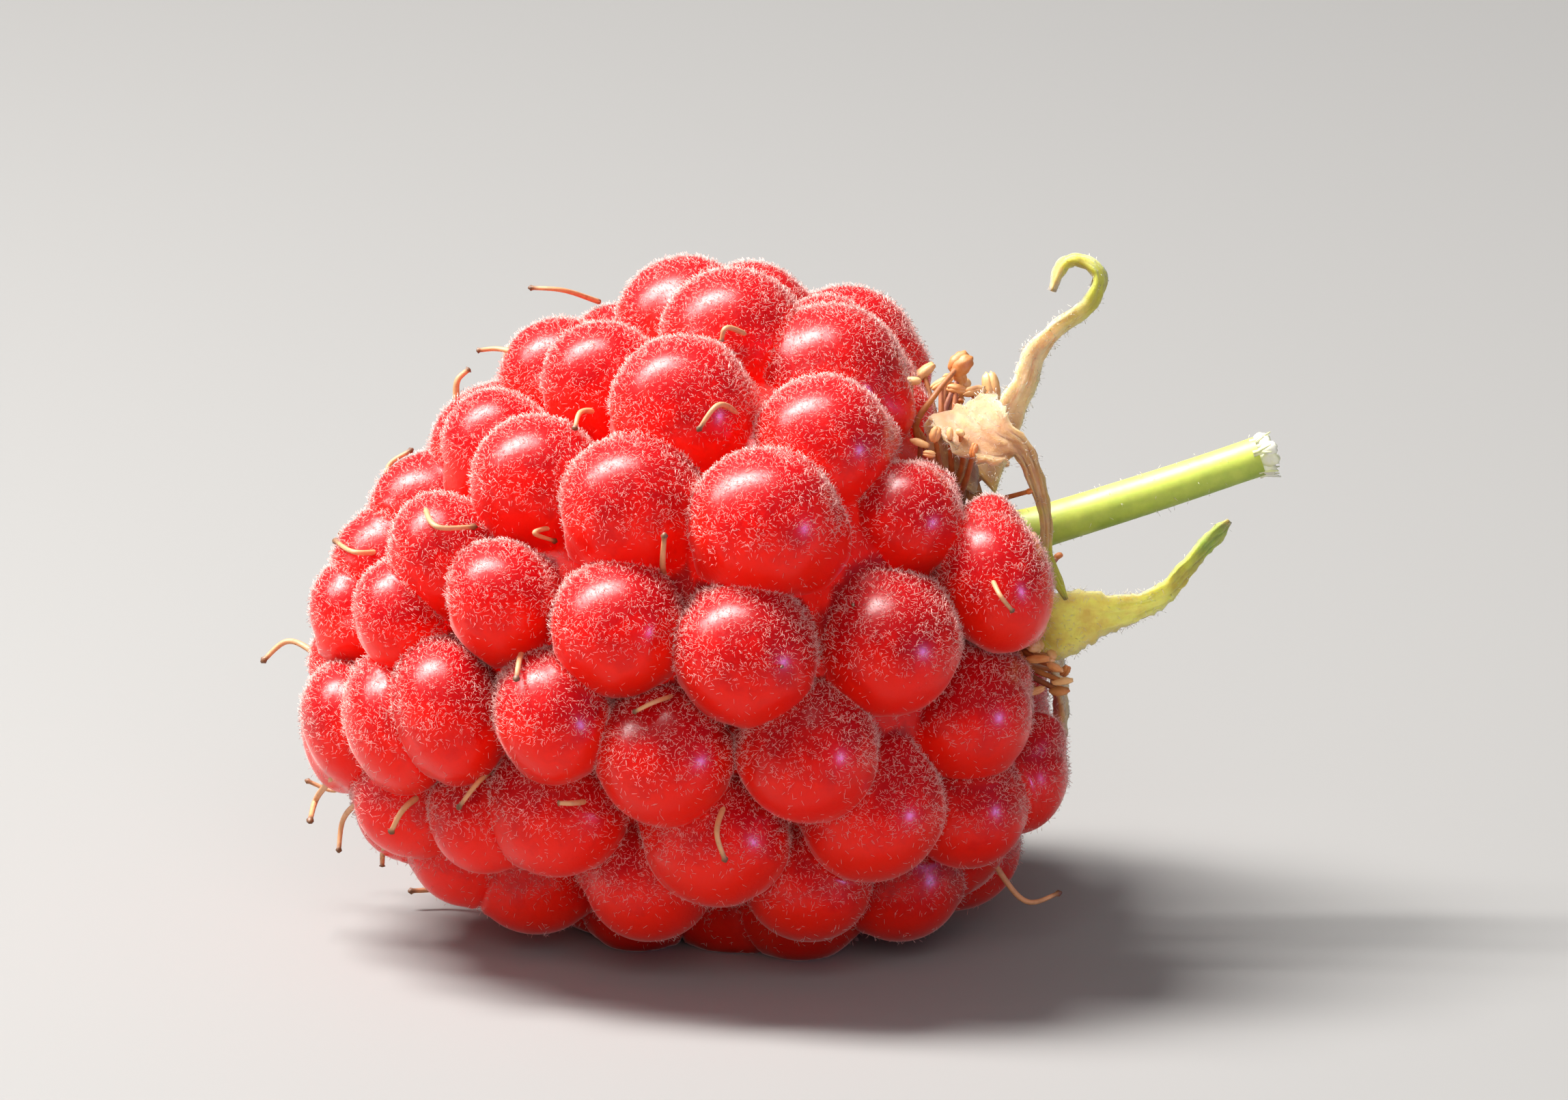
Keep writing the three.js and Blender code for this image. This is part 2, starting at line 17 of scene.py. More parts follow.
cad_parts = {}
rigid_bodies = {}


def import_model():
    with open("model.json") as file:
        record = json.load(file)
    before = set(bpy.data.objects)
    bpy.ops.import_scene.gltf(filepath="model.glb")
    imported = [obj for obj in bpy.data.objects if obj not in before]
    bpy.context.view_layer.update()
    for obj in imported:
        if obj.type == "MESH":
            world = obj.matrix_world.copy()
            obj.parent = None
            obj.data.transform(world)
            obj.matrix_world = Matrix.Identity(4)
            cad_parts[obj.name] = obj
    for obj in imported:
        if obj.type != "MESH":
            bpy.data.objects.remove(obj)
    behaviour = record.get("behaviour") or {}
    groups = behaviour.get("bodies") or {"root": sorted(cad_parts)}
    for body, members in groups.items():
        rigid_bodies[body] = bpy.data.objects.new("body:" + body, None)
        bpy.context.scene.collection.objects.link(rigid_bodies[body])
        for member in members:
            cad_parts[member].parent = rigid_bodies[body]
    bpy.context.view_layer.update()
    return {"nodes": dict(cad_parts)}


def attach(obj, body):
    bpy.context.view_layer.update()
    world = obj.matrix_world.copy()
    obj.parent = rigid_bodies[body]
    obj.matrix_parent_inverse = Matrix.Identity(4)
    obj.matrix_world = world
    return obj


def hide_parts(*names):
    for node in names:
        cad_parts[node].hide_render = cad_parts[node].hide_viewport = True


bl_info = {
    "name": "Ripe Raspberry",
    "version": (1, 0, 0),
    "blender": (4, 5, 0),
    "location": "3D View > Sidebar > Raspberry",
    "description": "Builds a downy ripe raspberry with its sepals and stalk, in a small studio",
    "category": "Add Mesh",
}

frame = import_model()

MM = 0.001
SEED = 7

# ---- How the berry lies, in millimetres and degrees. Its own frame has x along its axis from the
# tip to the calyx, -y at its front and z at its top.
TIP = (-11.4, 1.0, 5.37)
LEAN = math.radians(16.3)
ROLL = math.radians(-16.7)

# ---- The berry's egg-shaped outline: half its width, and where it is widest
HALF_WIDTH = 9.55
WIDEST_AT = 12.8
TIP_POWER = 1.55
CALYX_POWER = 2.3
CALYX_REACH = 7.3
OUTLINE_STEP = 0.05
OUTLINE_END = 20.1

# ---- Drupelets on the front: along the axis, up from it and radius. Those that stand proud of the
# outline or deeper also have how far from the axis their centre lies, and those squeezed against
# the tip or the calyx how narrow they are along the axis for their height
FRONT_DRUPELETS = [
    [18.8, -1.1, 1.93, 5.0, 0.76], [17.0, 1.2, 1.47, 5.6], [15.5, 3.7, 1.82, 6.6],
    [16.2, 5.3, 2.01, 6.1], [17.0, -4.2, 1.77, 5.7], [15.6, -1.9, 1.86, 6.8], [13.4, 2.15, 1.98],
    [12.2, 5.7, 1.91], [14.0, 7.1, 1.89], [11.9, -1.0, 1.88], [12.7, -3.95, 1.86],
    [13.9, -5.9, 1.92], [16.3, -6.6, 1.62, 7.2], [10.2, 3.6, 1.91], [8.9, 0.65, 1.79],
    [9.05, -2.95, 1.82], [9.8, -5.35, 1.91], [7.95, 4.95, 1.75], [6.15, 2.25, 1.62, 6.0, 0.88],
    [6.55, -1.1, 1.78, 6.1, 0.86], [5.95, -3.4, 1.86], [5.0, 3.85, 1.7, 5.35, 0.82],
    [3.95, -0.15, 1.97, 4.45, 0.75], [7.2, 6.25, 1.45], [10.35, 7.0, 1.6],
    [2.2, 3.05, 1.38, 3.05, 0.8], [1.3, 0.25, 1.75, 0.8, 0.7], [3.4, 2.6, 1.55, 4.35, 0.75],
    [2.5, -0.1, 1.85, 3.1, 0.72], [2.4, -2.05, 1.62], [17.65, -6.15, 1.57, 6.3],
    [11.75, -7.15, 1.72], [14.05, -7.85, 1.75, 7.87], [4.1, -3.1, 1.52], [7.75, -5.85, 1.76],
    [4.95, -5.15, 1.82],
]

# ---- Drupelets just over the top and bottom edge, and those underneath that the berry lies on
EDGE_DRUPELETS = [
    [16.8, 5.7, 1.93, 6.2], [12.9, 7.8, 1.85, 7.8], [9.35, 7.45, 1.62, 7.5], [10.95, 7.45, 1.5],
    [14.5, 7.2, 1.82], [4.95, 5.05, 1.57], [15.7, -7.5, 1.75, 7.8], [3.4, -3.8, 1.62],
    [16.8, 4.6, 1.55, 4.7], [4.25, 4.3, 1.3], [16.3, 6.2, 1.35, 6.2],
]
RESTING_DRUPELETS = [
    [9.8, -6.9, 1.92], [13.0, -6.8, 1.92], [6.7, -5.3, 1.86], [10.0, -5.5, 1.9],
    [7.3, -6.35, 1.55],
]

# ---- Drupelets on the hidden side fill what is left, by rule
DRUPELET_COUNT = 85
DRAWS_EACH = 80
HIDDEN_FROM = 2.2
HIDDEN_SPAN = 15.3
HIDDEN_DEPTH = 0.4
FULL_WIDTH_OUT = 7.8
LEAST_KEPT = 0.1
SETTLE_ROUNDS = 150
SETTLE_REACH = 1.12
SETTLE_PUSH = 0.35
SETTLE_DEPTH = 0.3
CALYX_EDGE = 16.9
CALYX_EDGE_SLOPE = 0.12
TIP_RADIUS = 1.42
TIP_ENDS = 1.5
BODY_RADIUS = 1.92
BODY_STARTS = 8.0
CALYX_STARTS = 15
CALYX_SHRINK = 0.083
RADIUS_SPREAD = 0.05

# ---- They press into the gaps between them. A crown fills only narrow gaps, a root wide ones too:
# all of them up to the first gap, none beyond the second. A crown turns into a root between these
# shares of the radius, measured outwards
CROWN_GAPS = (0.05, 0.4)
ROOT_GAPS = (0.9, 2.0)
ROOT_BELOW = (-0.45, 0.15)

# ---- The core that the drupelets stand out of
CORE_DEPTH = 2.3
CORE_FROM = 2.4
CORE_TO = 18.2
CORE_END_RADIUS = 2.5
CORE_END_SLOPE = 1.9
CORE_STEPS = 60
CORE_SIDES = 64

# ---- No drupelet is quite round: how close its waves are, their height as a share of its radius,
# and the spread of their phases. A seam is where two drupelets come this close, and it stays a
# sharp edge from this angle in degrees on
WAVE_DENSITY = 2.2
WAVE_HEIGHT = 0.008
PHASE_SPREAD = 6
SEAM_REACH = 0.3
SEAM_ANGLE = 40

# ---- Dried styles on the front: where each point lies along and up, from root to knob, and how far
# the three points are lifted off the skin
STYLE_SINK = 0.35
STYLE_LIFTS = [-STYLE_SINK, 0.55, 0.45]
FRONT_STYLES = [
    [[13.8, -1.8], [13.9, -0.9], [12.7, -1.6]], [[11.4, 1.9], [10.5, 1.9], [10.8, 2.7]],
    [[15.5, 0.4], [15.2, 0.1], [15.0, -0.6]], [[10.4, -4.4], [9.8, -5.3], [9.8, -6.1]],
    [[9.9, -1.5], [9.2, -1.5], [8.6, -1.6]], [[7.0, 0.7], [6.2, 0.7], [5.9, 0.1]],
    [[8.2, 3.7], [7.5, 3.7], [8.0, 3.3]], [[10.2, 6.2], [9.6, 6.4], [9.3, 6.0]],
    [[13.8, 4.7], [13.1, 5.5], [12.4, 5.0]], [[14.6, 6.9], [13.9, 7.4], [13.7, 7.1]],
    [[4.9, 5.4], [5.1, 4.6], [6.1, 4.3]], [[10.9, 9.1], [10.0, 9.7], [9.2, 10.0]],
    [[8.3, 8.5], [7.9, 8.7], [7.4, 8.8]], [[6.5, 7.7], [6.7, 8.2], [7.1, 8.4]],
    [[3.5, 4.4], [2.8, 4.6], [2.3, 5.1]], [[2.7, -2.0], [2.0, -2.3], [1.5, -2.8]],
    [[4.8, -1.9], [4.1, -2.2], [3.4, -2.7]], [[0.5, -0.9], [-0.2, -1.4], [-0.5, -1.9]],
    [[1.0, -1.7], [0.3, -2.2], [0.0, -2.9]], [[1.4, -2.9], [1.1, -3.3], [1.0, -3.6]],
    [[6.8, -3.5], [6.3, -3.4], [6.0, -3.3]], [[18.7, -0.9], [18.8, -1.5], [19.0, -2.0]],
]

# ---- A style this near the ground is left out
GROUND_CLEAR = 0.25

# ---- A style's girth, as shares of its radius: at its root, what it loses along its length, what
# the knob adds, at its very end, and how it differs from one style to the next. The knob's middle,
# its reach and where it turns dark are shares of the length
STYLE_STEPS = 22
STYLE_SIDES = 8
STYLE_GIRTH = 1.15
STYLE_NARROWS = 0.35
KNOB_ADDS = 0.75
KNOB_END = 0.35
LEAST_GIRTH = 0.85
GIRTH_SPREAD = 0.3
KNOB_MIDDLE = 0.975
KNOB_REACH = 0.03
KNOB_DARKENS = (0.8, 0.97)

# ---- The rule for styles on the hidden side: length, and shares of the length or the radius
HIDDEN_STYLE_LENGTH = 1.9
LENGTH_SPREAD = 0.2
LEAN_TO_ENDS = 0.35
ROOT_OUT = 0.8
ROOT_ASIDE = 0.5
MIDDLE_OUT = 0.55
MIDDLE_ASIDE = 0.25
HOOK_ASIDE = 0.45
HOOK_OUT = 0.05
HOOK_TURN = 1.2

# ---- Down on the fruit: its shortest hair as a share of its longest, the angles it stands off the
# skin in degrees, how high off the ground it starts and is full, where it thins on a drupelet's
# lower side, the share it loses there, and what a seam adds. A hair's root is sunk into the skin by
# a share of its length
DOWN_SHORTEST = 0.5
DOWN_LIFTS = (12, 62)
DOWN_HEIGHTS = (0.1, 0.5)
DOWN_THINS = (0.4, 0.68)
DOWN_LOSS = 0.94
SEAM_GAIN = 0.4
DOWN_PIECES = 4
HAIR_SINK = 0.1

# ---- Calyx: a disc behind the berry and five sepals. Each has its spine from rim to tip, its width
# there, the way its width runs, and its colours as [share of its length, colour]
DISC_FROM = 18.74
DISC_TO = 19.16
DISC_RADIUS = 2.55
DISC_SIDES = 40
SEPALS = {
    "sepal_hooked": {
        "spine": [[19.1, 0.9, 2.0], [19.9, 1.3, 2.5], [21.1, 1.5, 3.7], [21.65, 1.6, 4.4],
                  [22.4, 1.6, 4.85], [23.45, 1.6, 5.25], [23.85, 1.6, 5.95], [23.4, 1.6, 6.45],
                  [22.95, 1.55, 6.4], [22.5, 1.45, 5.85]],
        "widths": [1.9, 1.1, 0.72, 0.68, 0.6, 0.5, 0.46, 0.42, 0.42, 0.38],
        "across": [[0.85, 0.3, -0.5], [0.1, 1, 0]],
        "colours": [[0.0, "tan"], [0.15, "cream"], [0.42, "cream"], [0.56, "leaf"],
                    [0.88, "leaf"], [0.96, "tan"], [1.0, "brown"]],
    },
    "sepal_hood": {
        "crumple": 0.065,
        "spine": [[19.1, -1.5, 1.9], [18.95, -2.3, 3.0], [19.2, -3.0, 3.5], [19.5, -3.75, 3.0],
                  [19.9, -4.1, 2.5], [20.45, -4.15, 2.1], [20.6, -3.9, 1.3], [20.55, -3.3, 0.15],
                  [20.3, -2.85, -0.95], [20.45, -2.7, -2.1]],
        "widths": [2.0, 1.9, 1.7, 1.9, 1.5, 0.62, 0.46, 0.34, 0.3, 0.28],
        "across": [[0, 0.8, 0.6], [0.7, 0.5, 0.4], [1, 0.1, 0.1], [1, 0, 0.2], [0.8, 0, 0.55],
                   [0.9, 0, 0.4], [1, 0.1, 0], [1, 0.2, 0], [1, 0.2, 0], [1, 0.2, 0]],
        # The hood sepal starts in painted shade at its root, then turns tan and peach
        "colours": [[0.0, "rust_and_shade"], [0.12, "tan"], [0.22, "peach"], [0.55, "peach"],
                    [0.64, "tan"], [0.8, "tan"], [0.86, "leaf"], [0.97, "leaf"], [1.0, "brown"]],
    },
    "sepal_low_front": {
        "spine": [[19.1, -1.3, -2.0], [19.9, -1.7, -2.55], [20.7, -1.9, -2.6], [21.5, -1.9, -2.75],
                  [22.3, -1.9, -2.8], [22.95, -1.9, -2.7], [23.55, -1.85, -2.35],
                  [24.25, -1.8, -1.9], [24.85, -1.75, -1.55], [25.2, -1.7, -1.35]],
        "widths": [2.0, 2.1, 1.7, 1.1, 0.73, 0.62, 0.54, 0.48, 0.42, 0.34],
        "across": [[0, -0.4, 0.9], [0, -0.6, 0.8]],
        "colours": [[0.0, "tan"], [0.12, "straw"], [0.55, "straw"], [0.66, "leaf"],
                    [0.8, "dark_green_and_shade"], [0.93, "dark_green_and_shade"], [1.0, "tan"]],
    },
    "sepal_low_back": {
        "spine": [[19.1, 1.1, -2.0], [19.6, 1.9, -3.1], [19.6, 2.5, -4.3], [19.3, 2.9, -5.4],
                  [18.8, 3.1, -6.3]],
        "widths": [2.0, 1.8, 1.3, 0.8, 0.45],
        "across": [[0.2, 1, 0.3], [0.2, 1, 0.3]],
        "colours": [[0.0, "tan"], [0.3, "cream"], [0.7, "tan"], [1.0, "brown"]],
    },
    "sepal_back": {
        "spine": [[19.1, 2.2, -0.2], [19.6, 3.2, -0.3], [19.85, 4.4, -0.4], [19.7, 5.6, -0.4],
                  [19.2, 6.6, -0.2]],
        "widths": [2.0, 1.8, 1.4, 0.9, 0.45],
        "across": [[0, -0.2, 1], [0, -0.1, 1]],
        "colours": [[0.0, "tan"], [0.3, "cream"], [0.65, "leaf"], [1.0, "brown"]],
    },
}
SEPAL_STEPS = 56
SEPAL_CELLS = 10
SEPAL_CUP = 0.16
SEPAL_CRUMPLE = 0.04
TIP_NARROWS = 0.75
TIP_THINS = 0.6
MARGIN_POWER = 1.5
MARGIN_FADES = 0.7

# ---- Felt on each sepal: its longest hair, the shortest as a share of it, and its angles off the
# blade in degrees. It is thick at the margins and loses a share on the outer part
FELT_HAIRS = 700
FELT_LENGTH = 0.22
FELT_SHORTEST = 0.4
FELT_LIFTS = (10, 70)
FELT_IN_MIDDLE = 0.25
FELT_MARGIN_GAIN = 1.5
FELT_OUTER_LOSS = 0.8

# ---- Stamens: a thin ring between berry and calyx, with dried filaments and their anthers. The
# first steps of a filament lie in the ring, and only the others have to keep clear
RING_FROM = 18.28
RING_TO = 18.56
RING_RADIUS = 2.75
STAMEN_DRAWS = 150
STAMEN_CLEAR = 0.05
ANTHER_OUT = 3.9
ANTHER_OUT_SPREAD = 1.1
ANTHER_FORWARD = -0.2
ANTHER_FORWARD_SPREAD = 1.9
KNEE_FORWARD = 0.3
KNEE_LIFT = 0.1
FILAMENT_SINK = 0.3
FILAMENT_STEPS = 14
FILAMENT_SIDES = 6
FILAMENT_TAPER = (1.2, 0.8)
FILAMENT_TONES = (0.3, 0.9)
RING_TONE = 0.9
IN_THE_RING = 4
ANTHER_LENGTHS = (0.2, 0.38)
ANTHER_WIDTHS = (0.1, 0.19)

# ---- An anther's two lobes, as shares of its half width: how far each stands aside, and its own
# two half widths
LOBE_ASIDE = 0.3
LOBE_WIDTHS = (0.72, 0.85)

# ---- Shrivelled lumps: cells along a patch's side, and how close and high their wrinkles are
LUMP_CELLS = 6
WRINKLE_DENSITY = 7
WRINKLE_HEIGHT = 0.06

# ---- The stamens that show at the front: a filament's points from root to end, and its anther's
# half length and half width, the way it lies and how dark it is. Above the axis, the rule's
# stamens start this far behind it
FRONT_UP_TO = 1.2
FRONT_STAMENS = [
    {"path": [[18.4, -1.7, 2.1], [17.95, -2.3, 3.4], [18.7, -2.3, 4.1], [19.6, -1.45, 4.7]],
     "anther": [0.36, 0.30], "lies": [0.88, 0, 0.48], "dark": 0.85},
    {"path": [[18.4, -0.9, 2.5], [19.2, -1.0, 3.4], [20.2, -0.6, 3.85]],
     "anther": [0.44, 0.23], "lies": [0.11, 0, 0.99], "dark": 0.3},
    {"path": [[18.3, -0.9, 2.55], [17.95, -1.1, 3.6], [18.2, -1.0, 4.65]],
     "anther": [0.29, 0.14], "lies": [0.96, 0, -0.28], "dark": 0.0},
    {"path": [[18.4, -1.2, 2.4], [18.7, -1.2, 3.5], [18.95, -1.0, 4.35]],
     "anther": [0.30, 0.13], "lies": [0.98, 0, 0.2], "dark": 0.4},
    {"path": [[18.4, -1.3, 2.3], [19.0, -1.3, 3.4], [19.3, -1.2, 4.1]],
     "anther": [0.26, 0.13], "lies": [0.9, 0, -0.4], "dark": 0.55},
    {"path": [[18.4, -1.0, 2.4], [19.4, -1.1, 3.2], [19.75, -1.0, 3.9]],
     "anther": [0.32, 0.14], "lies": [1, 0, -0.1], "dark": 0.35},
    {"path": [[18.4, -2.2, 1.5], [17.8, -3.2, 2.3], [17.95, -3.9, 3.0]],
     "anther": [0.28, 0.12], "lies": [0.8, 0, -0.59], "dark": 0.25},
    {"path": [[18.4, -2.2, 1.5], [18.2, -3.3, 2.1], [18.1, -4.1, 2.65]],
     "anther": [0.17, 0.10], "lies": [0.9, 0, -0.4], "dark": 0.35},
    {"path": [[18.4, -2.2, 1.5], [18.6, -3.4, 2.3], [18.78, -4.15, 3.0]],
     "anther": [0.17, 0.10], "lies": [0.28, 0, 0.96], "dark": 0.0},
    {"path": [[18.4, -2.2, 1.5], [18.9, -3.5, 2.2], [19.05, -4.2, 2.95]],
     "anther": [0.13, 0.10], "lies": [0.7, 0, -0.7], "dark": 0.05},
    {"path": [[18.4, -2.2, 1.5], [18.3, -3.4, 2.4], [18.4, -4.1, 3.1]],
     "anther": [0.22, 0.15], "lies": [0.6, 0, 0.8], "dark": 0.5},
    {"path": [[18.4, -2.3, 1.2], [18.9, -3.4, 1.8], [19.25, -4.2, 2.4]],
     "anther": [0.20, 0.11], "lies": [0.5, 0, 0.86], "dark": 0.9},
    {"path": [[18.4, -2.3, 0.9], [18.8, -2.7, 1.04], [19.4, -3.1, 0.97], [20.35, -3.85, 0.93]],
     "anther": [0.10, 0.08], "lies": [1, 0, 0], "dark": 1.0},
    {"path": [[18.4, -1.2, -2.4], [19.5, -1.6, -1.7], [20.6, -1.5, -0.93]],
     "anther": [0.12, 0.09], "lies": [1, 0, 0.1], "dark": 0.9},
]

# ---- Stalk. Its cut end frays from a share of its length on
STALK_POINTS = [[19.3, 0, -0.05], [20.8, 0, -0.06], [24.0, 0, -0.03], [27.1, 0, 0.06]]
STALK_TAPER = 0.065
STALK_COLLAR = 0.3
COLLAR_FADE = 14
STALK_FLARE = 0.07
FLARE_FADE = 20
FRAY_FROM = 0.935
STALK_STEPS = 56
STALK_SIDES = 28
CUT_ANGLE = 50

# ---- Hairs on the stalk: the longest, the shortest as a share of it, and their angles off it in
# degrees. They are thickest at its root, up to a share of its length
STALK_HAIRS = 160
STALK_HAIR_LENGTH = 0.2
STALK_HAIR_SHORTEST = 0.4
STALK_HAIR_LIFTS = (30, 80)
ROOT_GAIN = 3
ROOT_REACH = 0.2

# ---- The frayed end: torn lobes and fibres. LOBE_OUT is a share of the stalk's radius, and the
# splays and the bend are slopes
LOBES = 9
LOBE_JITTER = 0.05
LOBE_OUT = (0.45, 0.7)
LOBE_FORWARD = (0.0, 0.3)
LOBE_SPLAY = 0.3
LOBE_SIZES = (0.17, 0.31)
LOBE_TONES = (0.0, 0.3)
FIBRES = 26
FIBRE_TONES = (0.0, 0.5)
FIBRE_ROOT = 0.15
FIBRE_SPLAY = 0.35
FIBRE_BEND = 0.15
FIBRE_LENGTHS = (0.2, 0.5)
FIBRE_RADII = (0.06, 0.05, 0.02)
FIBRE_SIDES = 5

# ---- The camera aims at this place, from the front and a little above
AIM = (1.57, 3.8, 9.75)
VIEW_AZIMUTH = math.radians(-4.8)
VIEW_ELEVATION = math.radians(16)
VIEW_DISTANCE = 1200
IMAGE_WIDTH = 41.75
SENSOR_WIDTH = 36

# ---- The floor reaches this many metres each way, in a room of one colour
FLOOR_REACH = 4.0
FLOOR_TINT = (0.5, 0.5, 0.5)
ROOM_COLOUR = (0.92, 0.95, 1.0)

# ---- Grain is noise, and nearly all of it lies in this span
GRAIN_SPAN = (0.3, 0.7)

# ---- Lamps: the way to each from where the camera aims, how far off it is, its size and its
# colour. Some add only gloss and some only soft light
LAMPS = {
    "key": {"way": (-0.47, 0.10, 0.88), "distance": 230, "size": (52, 135),
            "colour": (1.0, 0.98, 0.95), "adds": "both"},
    "shine": {"way": (-0.47, 0.10, 0.88), "distance": 230, "size": (95, 290),
              "colour": (1, 1, 1), "adds": "gloss"},
    "fill": {"way": (-0.05, -0.85, 0.5), "distance": 400, "size": (240, 240),
             "colour": (1, 1, 1), "adds": "soft light"},
    "glint": {"way": (0.79, -0.6, 0.0), "distance": 160, "size": (12, 16),
              "colour": (0.45, 0.35, 1.0), "adds": "gloss"},
}


# ---- Settings

def length_setting(name, description, default):
    """A length in millimetres, kept in metres."""
    return FloatProperty(
        name=name, description=description, default=default * MM, min=0, subtype="DISTANCE",
        unit="LENGTH", precision=5,
    )


def share_setting(name, description, default):
    return FloatProperty(
        name=name, description=description, default=default, min=0, max=1, subtype="FACTOR",
    )


def colour_setting(name, description, default):
    return FloatVectorProperty(
        name=name, description=description, default=default, min=0, max=1, size=3,
        subtype="COLOR",
    )


def power_setting(name, description, default):
    return FloatProperty(
        name=name, description=description, default=default, min=0, subtype="POWER",
        unit="POWER",
    )


class RaspberryFruitSettings(bpy.types.PropertyGroup):
    """Sizes and colours of the drupelets and their styles."""

    press: share_setting("Press", "Share of the gap to its neighbour that a drupelet fills", 0.5)
    skin_cells: IntProperty(
        name="Skin cells", description="Cells along each side of a drupelet's six patches",
        default=18, min=4,
    )
    crown: colour_setting("Crown", "Colour of a drupelet's top", (0.52, 0.002, 0.005))
    # Painted glow on a drupelet's lower side, as if light shone through its flesh; its top keeps the
    # crown colour
    painted_glow: colour_setting("Glow", "Colour of a drupelet's lower side", (1.0, 0.012, 0.003))
    # Painted glow where drupelets meet, brighter than the crown where shade would fall
    seam: colour_setting("Seam", "Colour where drupelets meet", (0.88, 0.03, 0.022))
    flesh_depth: length_setting("Flesh depth", "How far light travels in the flesh", 3.3)
    style_radius: length_setting("Style radius", "Radius of a dried style", 0.075)
    style_light: colour_setting("Style, light", "Colour of a style's root", (0.72, 0.34, 0.15))
    style_dark: colour_setting("Style, dark", "Colour of a style's knob", (0.16, 0.06, 0.02))


class RaspberryDownSettings(bpy.types.PropertyGroup):
    """Number, size and colour of the fine hairs."""

    fruit_hairs: IntProperty(
        name="Hairs on the fruit", description="Number of hairs on the drupelets",
        default=140000, min=0,
    )
    hair_length: length_setting("Hair length", "Longest hair on the fruit", 0.2)
    hair_radius: length_setting("Hair radius", "Half a hair's thickness", 0.006)
    hair_colour: colour_setting("Hair colour", "Colour of the down", (0.96, 0.56, 0.50))
    felt_colour: colour_setting("Felt colour", "Colour of the sepals' felt", (0.90, 0.84, 0.72))


class RaspberryCalyxSettings(bpy.types.PropertyGroup):
    """Sizes and colours of the sepals, stamens and stalk."""

    sepal_thickness: length_setting("Sepal thickness", "Thickness along a sepal's spine", 0.3)
    margin_thickness: length_setting("Margin", "Thickness at a sepal's margin", 0.1)
    ragged: share_setting("Ragged", "How far a sepal's margin frays", 0.12)
    cream: colour_setting("Cream", "Withered felted blade", (0.90, 0.66, 0.38))
    peach: colour_setting("Peach", "Withered blade in full light", (0.59, 0.325, 0.143))
    straw: colour_setting("Straw", "Blade that dries from green", (0.93, 0.88, 0.18))
    tan: colour_setting("Tan", "Dry blade", (0.62, 0.36, 0.15))
    leaf: colour_setting("Leaf", "Part of a sepal that is still green", (0.56, 0.57, 0.05))
    brown: colour_setting("Brown", "Dead tip", (0.22, 0.07, 0.015))
    # A dark rust brown: filaments and the stamen ring darken towards it and the calyx disc is half
    # way to it; at the hood sepal's root it is painted shade
    rust_and_shade: colour_setting("Rust", "Shaded root of a sepal", (0.30, 0.07, 0.02))
    filament_radius: length_setting("Filament radius", "Radius of a filament", 0.085)
    filament: colour_setting("Filament", "Colour of the filaments", (0.60, 0.22, 0.05))
    anther_light: colour_setting("Anther, pale", "Colour of a pale anther", (0.90, 0.54, 0.22))
    anther_dark: colour_setting("Anther, dark", "Colour of a dark anther", (0.66, 0.19, 0.03))
    stalk_radius: length_setting("Stalk radius", "Radius of the stalk at its root", 0.58)
    # The stalk is painted lighter on its top and darker below, as painted light and painted shade.
    # The pith's torn end blends towards the upper green, and the tail of the low front sepal takes
    # the lower green as its own colour
    pale_green_and_lit_top: colour_setting("Stalk, top", "Upper side of the stalk", (0.77, 0.83, 0.15))
    dark_green_and_shade: colour_setting("Stalk, bottom", "Lower side of the stalk", (0.30, 0.42, 0.04))
    pith: colour_setting("Pith", "Cut end of the stalk", (0.92, 0.91, 0.76))


class RaspberryStageSettings(bpy.types.PropertyGroup):
    """Floor and lights."""

    floor: colour_setting("Floor", "Colour of the floor", (0.32, 0.315, 0.31))
    key_power: power_setting("Key", "Power of the softbox overhead", 1.35)
    fill_power: power_setting("Fill", "Power of the wide lamp in front", 0.6)
    shine_power: power_setting("Shine", "Power of the wider softbox that adds only gloss", 2.4)
    glint_power: power_setting("Glint", "Power of the small violet lamp at the right", 0.15)
    surround: FloatProperty(
        name="Surround", description="Brightness of the room", default=0.16, min=0,
    )


# ---- Frames, draws and curves

BERRY_TO_PART = (
    Matrix.Translation(TIP) @ Matrix.Rotation(-LEAN, 4, "Y") @ Matrix.Rotation(ROLL, 4, "X")
)
TURN = np.array(BERRY_TO_PART)[:3, :3]
SHIFT = np.array(BERRY_TO_PART)[:3, 3]


def in_part(points):
    """Points in the berry's frame and millimetres, as points of the part in metres."""
    return (np.asarray(points, float) @ TURN.T + SHIFT) * MM


def draw(k):
    """A repeatable draw between 0 and 1 for each number k."""
    value = math.sin(k * 12.9898 + 4.1414) * 43758.5453
    return value - math.floor(value)


def unit(vectors):
    vectors = np.asarray(vectors, float)
    return vectors / np.maximum(np.linalg.norm(vectors, axis=-1, keepdims=True), 1e-12)


def ramp(value, low, high):
    """0 below low and 1 above high, smooth between them."""
    share = np.clip((value - low) / (high - low), 0, 1)
    return share * share * (3 - 2 * share)


def curve_point(points, t):
    """The point at t, from 0 to 1, on a smooth curve through the points."""
    points = np.asarray(points, float)
    place = t * (len(points) - 1)
    index = min(int(place), len(points) - 2)
    weight = place - index
    near, far = points[index], points[index + 1]
    before = points[index - 1] if index > 0 else 2 * near - far
    after = points[index + 2] if index + 2 < len(points) else 2 * far - near
    gap_before = max(np.linalg.norm(near - before), 1e-8) ** 0.5
    gap = max(np.linalg.norm(far - near), 1e-8) ** 0.5
    gap_after = max(np.linalg.norm(after - far), 1e-8) ** 0.5
    start = (near - before) / gap_before - (far - before) / (gap_before + gap) + (far - near) / gap
    end = (far - near) / gap - (after - near) / (gap + gap_after) + (after - far) / gap_after
    start, end = start * gap, end * gap
    bend = near * 2 - far * 2 + start + end
    return near + start * weight + (far - near - start - bend) * weight**2 + bend * weight**3


